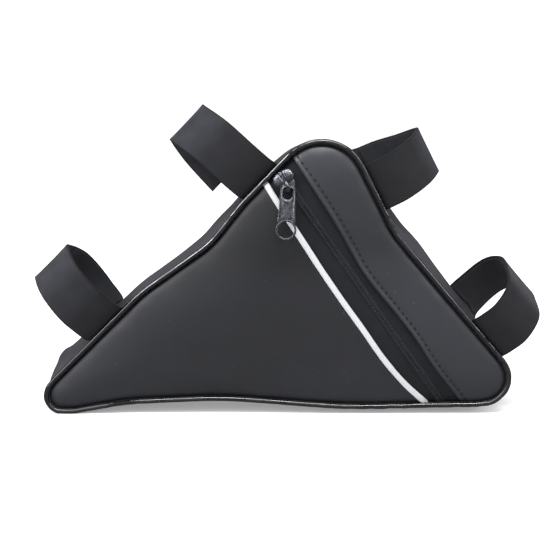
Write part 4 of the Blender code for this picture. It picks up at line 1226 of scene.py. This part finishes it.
def make_zip_teeth(shape):
    """The closed coil: two rows of short dashes side by side along the coil line, each a bent
    capsule laid across it, over a low domed bed that is an arch carried along the line."""
    base = shape.zip_line("coil")
    steps = round(lengths_along(base)[-1] / (TOOTH_PITCH / 2))
    line = shape.front_skin(resampled(base, steps), shape.tape_level + 0.2 * MM)
    frames = frames_along(line)
    reach = shape.sizes.coil_width / 2
    places = np.linspace(0, 1, steps)
    uneven = 0.30 * MM * wander(places, 1, 0.006, 53) + 0.26 * MM * wander(places, 1, 0.03, 54)
    sunk = line + frames[:, 2] * uneven[:, None]
    teeth = []
    for start, row in enumerate(TEETH_ROWS):
        x, y, z = np.moveaxis(capsule(reach * row["reach"], TOOTH_RADIUS, TOOTH_SAG), -1, 0)
        tooth = [y + TOOTH_LEAN * x, x + row["side"] * reach * 0.5, z + row["height"] * MM]
        teeth.append(scattered(np.stack(tooth, axis=-1), sunk[start::2], frames[start::2]))
    build_threads("zip_coil_teeth", np.concatenate(teeth), "coil", ["zip_coil"])
    share = np.linspace(-1, 1, 15)
    rise = 0.95 * MM * (1 - share**4) - 0.28 * MM * np.exp(-((share / 0.12) ** 2)) - 0.25 * MM
    grid = carried(line, frames, paired(share * reach * 1.12, rise))
    along = np.linspace(0, shape.zip_length, steps)[:, None]
    bed = build_piece("zip_coil_bed", grid, "tape", uv=paired(share * reach, along))
    turned(bed, FRONT)


def make_stripe(shape):
    """The pale stripe: a squared-off ellipse carried along its line, a little uneven in width,
    with both ends running under the piping."""
    flat = resampled(shape.zip_line("stripe", inset=0.8 * MM), STRIPE_ROWS)
    bottom = shape.tape_level + 0.3 * MM
    line = shape.front_skin(flat, bottom + shape.sizes.stripe_height / 2)
    places = np.linspace(0, 1, STRIPE_ROWS)[:, None]
    uneven = 1 + 0.035 * wander(places, 1, 0.045, 61) + 0.02 * wander(places, 1, 0.02, 62)
    angle = whole_turn(STRIPE_SIDES)
    wide = signed_power(np.cos(angle), 0.85) * shape.sizes.stripe_width / 2
    high = signed_power(np.sin(angle), 0.9) * shape.sizes.stripe_height / 2
    profile = paired(wide * uneven, high) * shut_ends(STRIPE_ROWS)
    build_piece(
        "stripe_film", carried(line, frames_along(line), profile), "stripe",
        ["reflective_stripe"], closed=True, loops=(False, True),
    )


def make_stitches(shape):
    """The rows of stitches on the panels: short capsules every few millimetres, their ends
    sinking into the leather."""
    for name, row in STITCHES.items():
        flat = shape.line_beside(row["line"], row["edge"], row["beside"], 5 * MM)
        count = round(lengths_along(flat)[-1] / (row["pitch"] * MM))
        line = shape.front_skin(resampled(flat, count), row["level"] * MM)
        stitch = capsule(row["length"] * MM, row["radius"] * MM, STITCH_SAG)
        build_threads(name, scattered(stitch, line, frames_along(line)), "thread")


def make_slider(shape):
    """The slider: a squared pebble for the plate, a large pebble with a groove down its middle for
    the crown, and a bridge that is a circle carried along an arch."""
    here, axes = shape.slider_axes()
    wide, long = shape.sizes.slider_width, shape.sizes.slider_length
    plate = pebble((wide, long, PLATE_WALL), (0.45, 0.75))
    plate[..., 0] *= 1 - 0.16 * np.clip(-plate[..., 1] / (long / 2), 0, 1)
    plate[..., 2] += 0.1 * MM
    crown = pebble((wide * 1.24, CROWN_LENGTH, CROWN_HEIGHT), (0.78, 0.78))
    above = np.clip(crown[..., 2] / (1.5 * MM), 0, 1)
    crown[..., 2] -= above * GROOVE_DEPTH * np.exp(-((crown[..., 0] / GROOVE_HALF) ** 2))
    crown[..., 0] += 0.5 * MM * above * np.tanh(crown[..., 0] / MM)
    crown += CROWN_PLACE
    build_piece(
        "slider_body", here + np.array([plate, crown]) @ axes, "metal", ["zip_slider"],
        quads=scattered_quads(PEBBLE_ROWS, PEBBLE_SIDES, 2), closed=True,
    )
    leg = [(1.0, BRIDGE_FOOT), (0.98, 0.55 * BRIDGE_TOP), (0.6, BRIDGE_TOP)]
    arch = leg + [(-a, h) for a, h in reversed(leg)]
    path = smooth_curve([(0, BRIDGE_MIDDLE + a * BRIDGE_HALF, h) for a, h in arch], 6)
    line = here + path @ axes
    along = unit(np.gradient(line, axis=0))
    side = np.broadcast_to(axes[0], along.shape)
    frames = np.stack([along, side, np.cross(along, side)], axis=1)
    profile = circle(whole_turn(BRIDGE_SIDES)) * BRIDGE_RADII * shut_ends(len(line))
    build_piece(
        "slider_bridge", carried(line, frames, profile), "metal",
        closed=True, loops=(False, True),
    )


def pull_axes():
    """The pull's pin and its axes: along the hinge, up the plate and out of its face, found from
    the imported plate's flattest direction."""
    joint = frame["joints"][0]
    mesh = frame["nodes"]["zip_pull"].data
    points = np.empty(len(mesh.vertices) * 3)
    mesh.vertices.foreach_get("co", points)
    points = points.reshape(-1, 3)
    flattest = np.linalg.svd(points - points.mean(0), full_matrices=False)[2][2]
    if flattest[1] > 0:
        flattest = -flattest
    across = -np.array(joint["axis"])
    across = unit(across - flattest * (across @ flattest))
    return np.array(joint["pos_m"]), np.array([across, np.cross(flattest, across), flattest])


def ring_around(inner, outer, thick, recess=0.0):
    """A closed band between two outlines: each has one point for each angle, and a rounded
    section of the given thickness runs between the two, hollowed a little along its middle."""
    section = [
        (0.00, 0.0), (0.00, 0.55), (0.06, 0.9), (0.16, 1.0), (0.26, 1.0), (0.36, 1 - recess),
        (0.5, 1 - recess), (0.64, 1 - recess), (0.74, 1.0), (0.84, 1.0), (0.94, 0.9), (1.00, 0.55),
        (1.00, -0.55), (0.94, -0.9), (0.84, -1.0), (0.5, -1.0), (0.16, -1.0), (0.06, -0.9), (0.00, -0.55),
    ]
    section = np.array(section)
    share = section[None, :, 0:1]
    flat = inner[:, None, :] * (1 - share) + outer[:, None, :] * share
    height = np.broadcast_to(section[None, :, 1:2] * thick / 2, flat.shape[:2] + (1,))
    return np.concatenate([flat, height], axis=-1)


def radius_at(angle, line):
    """How far a closed line round the origin lies from it at each angle."""
    bearing = np.arctan2(line[:, 1], line[:, 0]) % (2 * math.pi)
    order = np.argsort(bearing)
    radius = np.linalg.norm(line[order], axis=1)
    return np.interp(angle, bearing[order], radius, period=2 * math.pi)[:, None]


def make_pull(shape):
    """The pull: a plate with an eye for the slider's bridge, and a ring below it. Each is a
    rounded section carried round its hole."""
    pin, axes = pull_axes()
    half = shape.sizes.pull_width / 2
    length = shape.sizes.pull_length
    ring_y = PULL_TOP - length + PULL_RING
    left = [
        (-0.62 * half, PULL_TOP),
        (-0.94 * half, PULL_TOP - 0.35 * half),
        (-half, PULL_TOP - 1.2 * half),
        (-1.10 * half, PULL_TOP - 0.52 * length),
        (-0.97 * PULL_RING, ring_y + 0.22 * PULL_RING),
    ]
    low = (0, ring_y) + 0.93 * PULL_RING * circle(np.radians(np.linspace(164, 16, 17)))
    right = [(-x, y) for x, y in reversed(left)]
    border = np.vstack([left, low, right, left[:1]])
    centre = np.array([0, -PULL_TOP - PULL_EYE[1]])
    angle = whole_turn(PULL_ROWS) + 0.01
    direction = circle(angle)
    rim = centre + direction * radius_at(angle, resampled(border, 1400)[:-1] - centre)
    eye = centre + direction * radius_at(angle, signed_power(direction, 0.75) * PULL_EYE)
    plate = ring_around(eye, rim, PULL_WALL, 0.32)
    middle = np.array([0, ring_y])
    hoop = ring_around(middle + direction * PULL_HOLE, middle + direction * PULL_RING, PULL_WALL * 0.96)
    build_piece(
        "pull_plate", pin + np.array([plate, hoop]) @ axes, "metal", ["zip_pull"],
        quads=scattered_quads(*plate.shape[:2], 2, True), body=PULL, closed=True,
    )


def strap_grid(shape, row):
    """A strap's middle face: straight rows across the strap along a smooth path, which take the
    side wall's shape where the strap is sewn on."""
    path = smooth_curve([list(place.values()) for place in row["path"]], STRAP_STEPS)
    share_out, depth, slide, lean = np.split(path, 4, axis=1)
    depth = depth * shape.half_depth
    left = row["side"] == "left"
    way = 1 if left else -1
    start = shape.corner_at["lower_left" if left else "lower_right"]
    lengths = np.linspace(start, shape.corner_at["apex"], 2000)
    target = row["height"] * shape.sizes.panel_height
    place = lengths[np.abs(shape.point(lengths)[:, 1] - target).argmin()]
    centre = shape.point(place)
    width = shape.sizes.strap_width
    beside = np.linspace(-0.5, 0.5, STRAP_COLUMNS) * width
    ends = shape.point(place + beside[[0, -1]] * way)
    tangent = unit(ends[1] - ends[0])
    out = np.array([-tangent[1], tangent[0]]) * way
    shifted = beside * np.cos(lean) + slide * width
    inner_face = depth - np.sign(depth) * shape.sizes.strap_wall / 2
    across_wall = np.clip(0.5 + inner_face / shape.sizes.bag_depth, 0, 1)
    wall = shape.side_wall(place + shifted * way, across_wall)[..., [0, 2]]
    on_wall = (wall - centre) @ out + STRAP_REST_GAP
    reach = share_out * row["reach"]
    free = reach + np.maximum(on_wall.mean(1, keepdims=True), 0) * (1 - share_out)
    sewn = np.maximum(1 - share_out / STRAP_SEWN_SHARE, 0)
    offsets = on_wall * sewn + free * (1 - sewn)
    least = np.where(share_out > 0.02, (on_wall + reach) / 2, offsets)
    offsets = np.maximum(offsets, least)
    flat = centre + tangent * shifted[..., None] + out * offsets[..., None]
    y = shape.sizes.middle_y + depth + beside * np.sin(lean)
    return np.stack([flat[..., 0], y, flat[..., 1]], axis=-1)


def sheet_normals(grid):
    return unit(np.cross(np.gradient(grid, axis=0), np.gradient(grid, axis=1)))


def make_straps(shape):
    """The straps: their middle faces with slight waves along both edges, given a wall and
    rounded edges, and the hook tapes inside three of them."""
    across = np.linspace(0, shape.sizes.strap_width, STRAP_COLUMNS)
    edge = np.abs(np.linspace(-1, 1, STRAP_COLUMNS)) ** 3
    for number, (name, row) in enumerate(STRAPS.items()):
        grid = strap_grid(shape, row)
        along = lengths_along(grid[:, STRAP_COLUMNS // 2])[:, None]
        fade = np.sin(np.linspace(0, math.pi, len(grid)))[:, None]
        wave = 0.5 * MM * wander(along, 0.5, 17 * MM, 71 + number) * edge * fade
        wave = wave + 0.25 * MM * wander(along, 0.5, 30 * MM, 81 + number) * fade
        grid = grid + sheet_normals(grid) * wave[..., None]
        piece = build_piece(
            name + "_weave", grid, "strap", [name], uv=paired(across, along)
        )
        add_wall(piece, shape.sizes.strap_wall, 0.0, 0.5 * MM)
        if name in HOOK_TAPES:
            make_hook_tape(shape, name, grid, along[:, 0], number)


def make_hook_tape(shape, name, grid, along, number):
    """A thin tape on a strap's inside, with a wavy cut end."""
    start, end = HOOK_TAPES[name].values()
    total = along[-1]
    columns = range(STRAP_COLUMNS)
    across = np.linspace(0.03, 0.97, STRAP_COLUMNS)
    ragged = HOOK_RAGGED * wander(across, 1, 0.16, 91 + number) / total
    places = (start + ragged + (end - start) * np.linspace(0, 1, HOOK_ROWS)[:, None]) * total
    source = np.array(columns) / (STRAP_COLUMNS - 1)
    strip = []
    for axis in range(3):
        narrowed = np.array([np.interp(across, source, line[:, axis]) for line in grid])
        strip.append([np.interp(places[:, j], along, narrowed[:, j]) for j in columns])
    strip = np.array(strip).T
    normals = sheet_normals(strip)
    inwards = np.sign(((grid.mean((0, 1)) - strip) * normals).sum(-1).mean())
    strip = strip + normals * inwards * (shape.sizes.strap_wall / 2 + HOOK_GAP)
    width = across * shape.sizes.strap_width
    piece = build_piece(name + "_hook_tape", strip, "hook", uv=paired(width, places))
    add_wall(piece, HOOK_WALL, 0.0, 0.2 * MM)


def stand(name, data, place, way):
    """A lamp or a camera at a place, looking along a direction."""
    holder = bpy.data.objects.new(name, data)
    holder.location = place
    holder.rotation_euler = way.to_track_quat("-Z", "Y").to_euler()
    bpy.context.scene.collection.objects.link(holder)
    return holder


def background(tree, colour, strength):
    node = tree.nodes.new("ShaderNodeBackground")
    node.inputs["Color"].default_value = (*colour, 1)
    node.inputs["Strength"].default_value = strength
    return node.outputs[0]


def make_stage(context):
    """A pale floor, a surround that is pale but dim in reflections, soft lights and the camera."""
    stage = context.scene.bag_stage
    mesh = bpy.data.meshes.new("floor")
    corners = [(x * FLOOR_REACH, y * FLOOR_REACH, 0) for x, y in ((-1, -1), (1, -1), (1, 1), (-1, 1))]
    mesh.from_pydata(corners, [], [(0, 1, 2, 3)])
    mesh.materials.append(material("floor"))
    floor = bpy.data.objects.new("floor", mesh)
    context.scene.collection.objects.link(floor)
    floor.visible_glossy = False
    world = bpy.data.worlds.new("surround")
    world.use_nodes = True
    tree = world.node_tree
    blend = tree.nodes.new("ShaderNodeMixShader")
    rays = tree.nodes.new("ShaderNodeLightPath")
    tree.links.new(rays.outputs["Is Glossy Ray"], blend.inputs[0])
    tree.links.new(background(tree, (1, 1, 1), stage.fill), blend.inputs[1])
    tree.links.new(background(tree, (0.95, 0.97, 1), stage.reflected), blend.inputs[2])
    tree.links.new(blend.outputs[0], tree.nodes["World Output"].inputs[0])
    context.scene.world = world
    context.scene.view_settings.view_transform = "Standard"
    for name, row in LAMPS.items():
        lamp = bpy.data.lights.new(name, "AREA")
        lamp.shape = "RECTANGLE"
        lamp.size, lamp.size_y = row["size"]
        lamp.energy = stage.key * row["power"]
        lamp.color = COOL if row["cool"] else (1, 1, 1)
        stand(name, lamp, row["place"], LAMP_TARGET - Vector(row["place"]))
    back = Vector((0, -math.cos(stage.elevation), math.sin(stage.elevation)))
    lens = bpy.data.cameras.new("camera")
    lens.lens = stage.lens
    lens.sensor_width = 36
    context.scene.camera = stand("camera", lens, CAMERA_AIM + back * stage.distance, -back)


class BagPieceOperator:
    """What the operators of the bag's pieces share."""

    bl_options = {"REGISTER", "UNDO"}
    makers = ()

    def execute(self, context):
        shape = BagShape(context.scene.bag_sizes)
        for maker in self.makers:
            maker(shape)
        return {"FINISHED"}


class FRAMEBAG_OT_panels(BagPieceOperator, bpy.types.Operator):
    """Make the front and back panels"""

    bl_idname = "framebag.panels"
    bl_label = "Panels"
    makers = (make_front_panels, make_panel_back)


class FRAMEBAG_OT_gusset(BagPieceOperator, bpy.types.Operator):
    """Make the side wall"""

    bl_idname = "framebag.gusset"
    bl_label = "Side wall"
    makers = (make_gusset,)


class FRAMEBAG_OT_piping(BagPieceOperator, bpy.types.Operator):
    """Make the front and back piping"""

    bl_idname = "framebag.piping"
    bl_label = "Piping"
    makers = (make_piping,)


class FRAMEBAG_OT_zip(BagPieceOperator, bpy.types.Operator):
    """Make the zip's tapes and teeth, and the stripe beside them"""

    bl_idname = "framebag.zip"
    bl_label = "Zip"
    makers = (make_zip_tapes, make_zip_teeth, make_stripe)


class FRAMEBAG_OT_stitches(BagPieceOperator, bpy.types.Operator):
    """Make the rows of stitches"""

    bl_idname = "framebag.stitches"
    bl_label = "Stitches"
    makers = (make_stitches,)


class FRAMEBAG_OT_slider(BagPieceOperator, bpy.types.Operator):
    """Make the zip's slider and pull"""

    bl_idname = "framebag.slider"
    bl_label = "Slider and pull"
    makers = (make_slider, make_pull)


class FRAMEBAG_OT_straps(BagPieceOperator, bpy.types.Operator):
    """Make the strap loops"""

    bl_idname = "framebag.straps"
    bl_label = "Straps"
    makers = (make_straps,)


class FRAMEBAG_OT_stage(bpy.types.Operator):
    """Make the floor, the lights and the camera"""

    bl_idname = "framebag.stage"
    bl_label = "Stage"

    def execute(self, context):
        make_stage(context)
        return {"FINISHED"}


OPERATORS = (
    FRAMEBAG_OT_panels,
    FRAMEBAG_OT_gusset,
    FRAMEBAG_OT_piping,
    FRAMEBAG_OT_zip,
    FRAMEBAG_OT_stitches,
    FRAMEBAG_OT_slider,
    FRAMEBAG_OT_straps,
    FRAMEBAG_OT_stage,
)


class FRAMEBAG_PT_panel(bpy.types.Panel):
    """The bag's sizes, colours and pieces"""

    bl_idname = "FRAMEBAG_PT_panel"
    bl_label = "Frame Bag"
    bl_space_type = "VIEW_3D"
    bl_region_type = "UI"
    bl_category = "Frame Bag"

    def draw(self, context):
        column = self.layout.column(align=True)
        for operator in OPERATORS:
            column.operator(operator.bl_idname)
        for group in ("bag_sizes", "bag_finish", "bag_stage"):
            box = self.layout.box()
            values = getattr(context.scene, group)
            for name in values.__annotations__:
                box.prop(values, name)


CLASSES = (BagSizes, BagFinish, BagStage, *OPERATORS, FRAMEBAG_PT_panel)


def register():
    for each in CLASSES:
        bpy.utils.register_class(each)
    bpy.types.Scene.bag_sizes = PointerProperty(type=BagSizes)
    bpy.types.Scene.bag_finish = PointerProperty(type=BagFinish)
    bpy.types.Scene.bag_stage = PointerProperty(type=BagStage)


def unregister():
    del bpy.types.Scene.bag_stage
    del bpy.types.Scene.bag_finish
    del bpy.types.Scene.bag_sizes
    for each in reversed(CLASSES):
        bpy.utils.unregister_class(each)


def main():
    register()
    bpy.ops.framebag.stage()
    bpy.ops.framebag.panels()
    bpy.ops.framebag.gusset()
    bpy.ops.framebag.piping()
    bpy.ops.framebag.zip()
    bpy.ops.framebag.stitches()
    bpy.ops.framebag.slider()
    bpy.ops.framebag.straps()


if __name__ == "__main__":
    main()
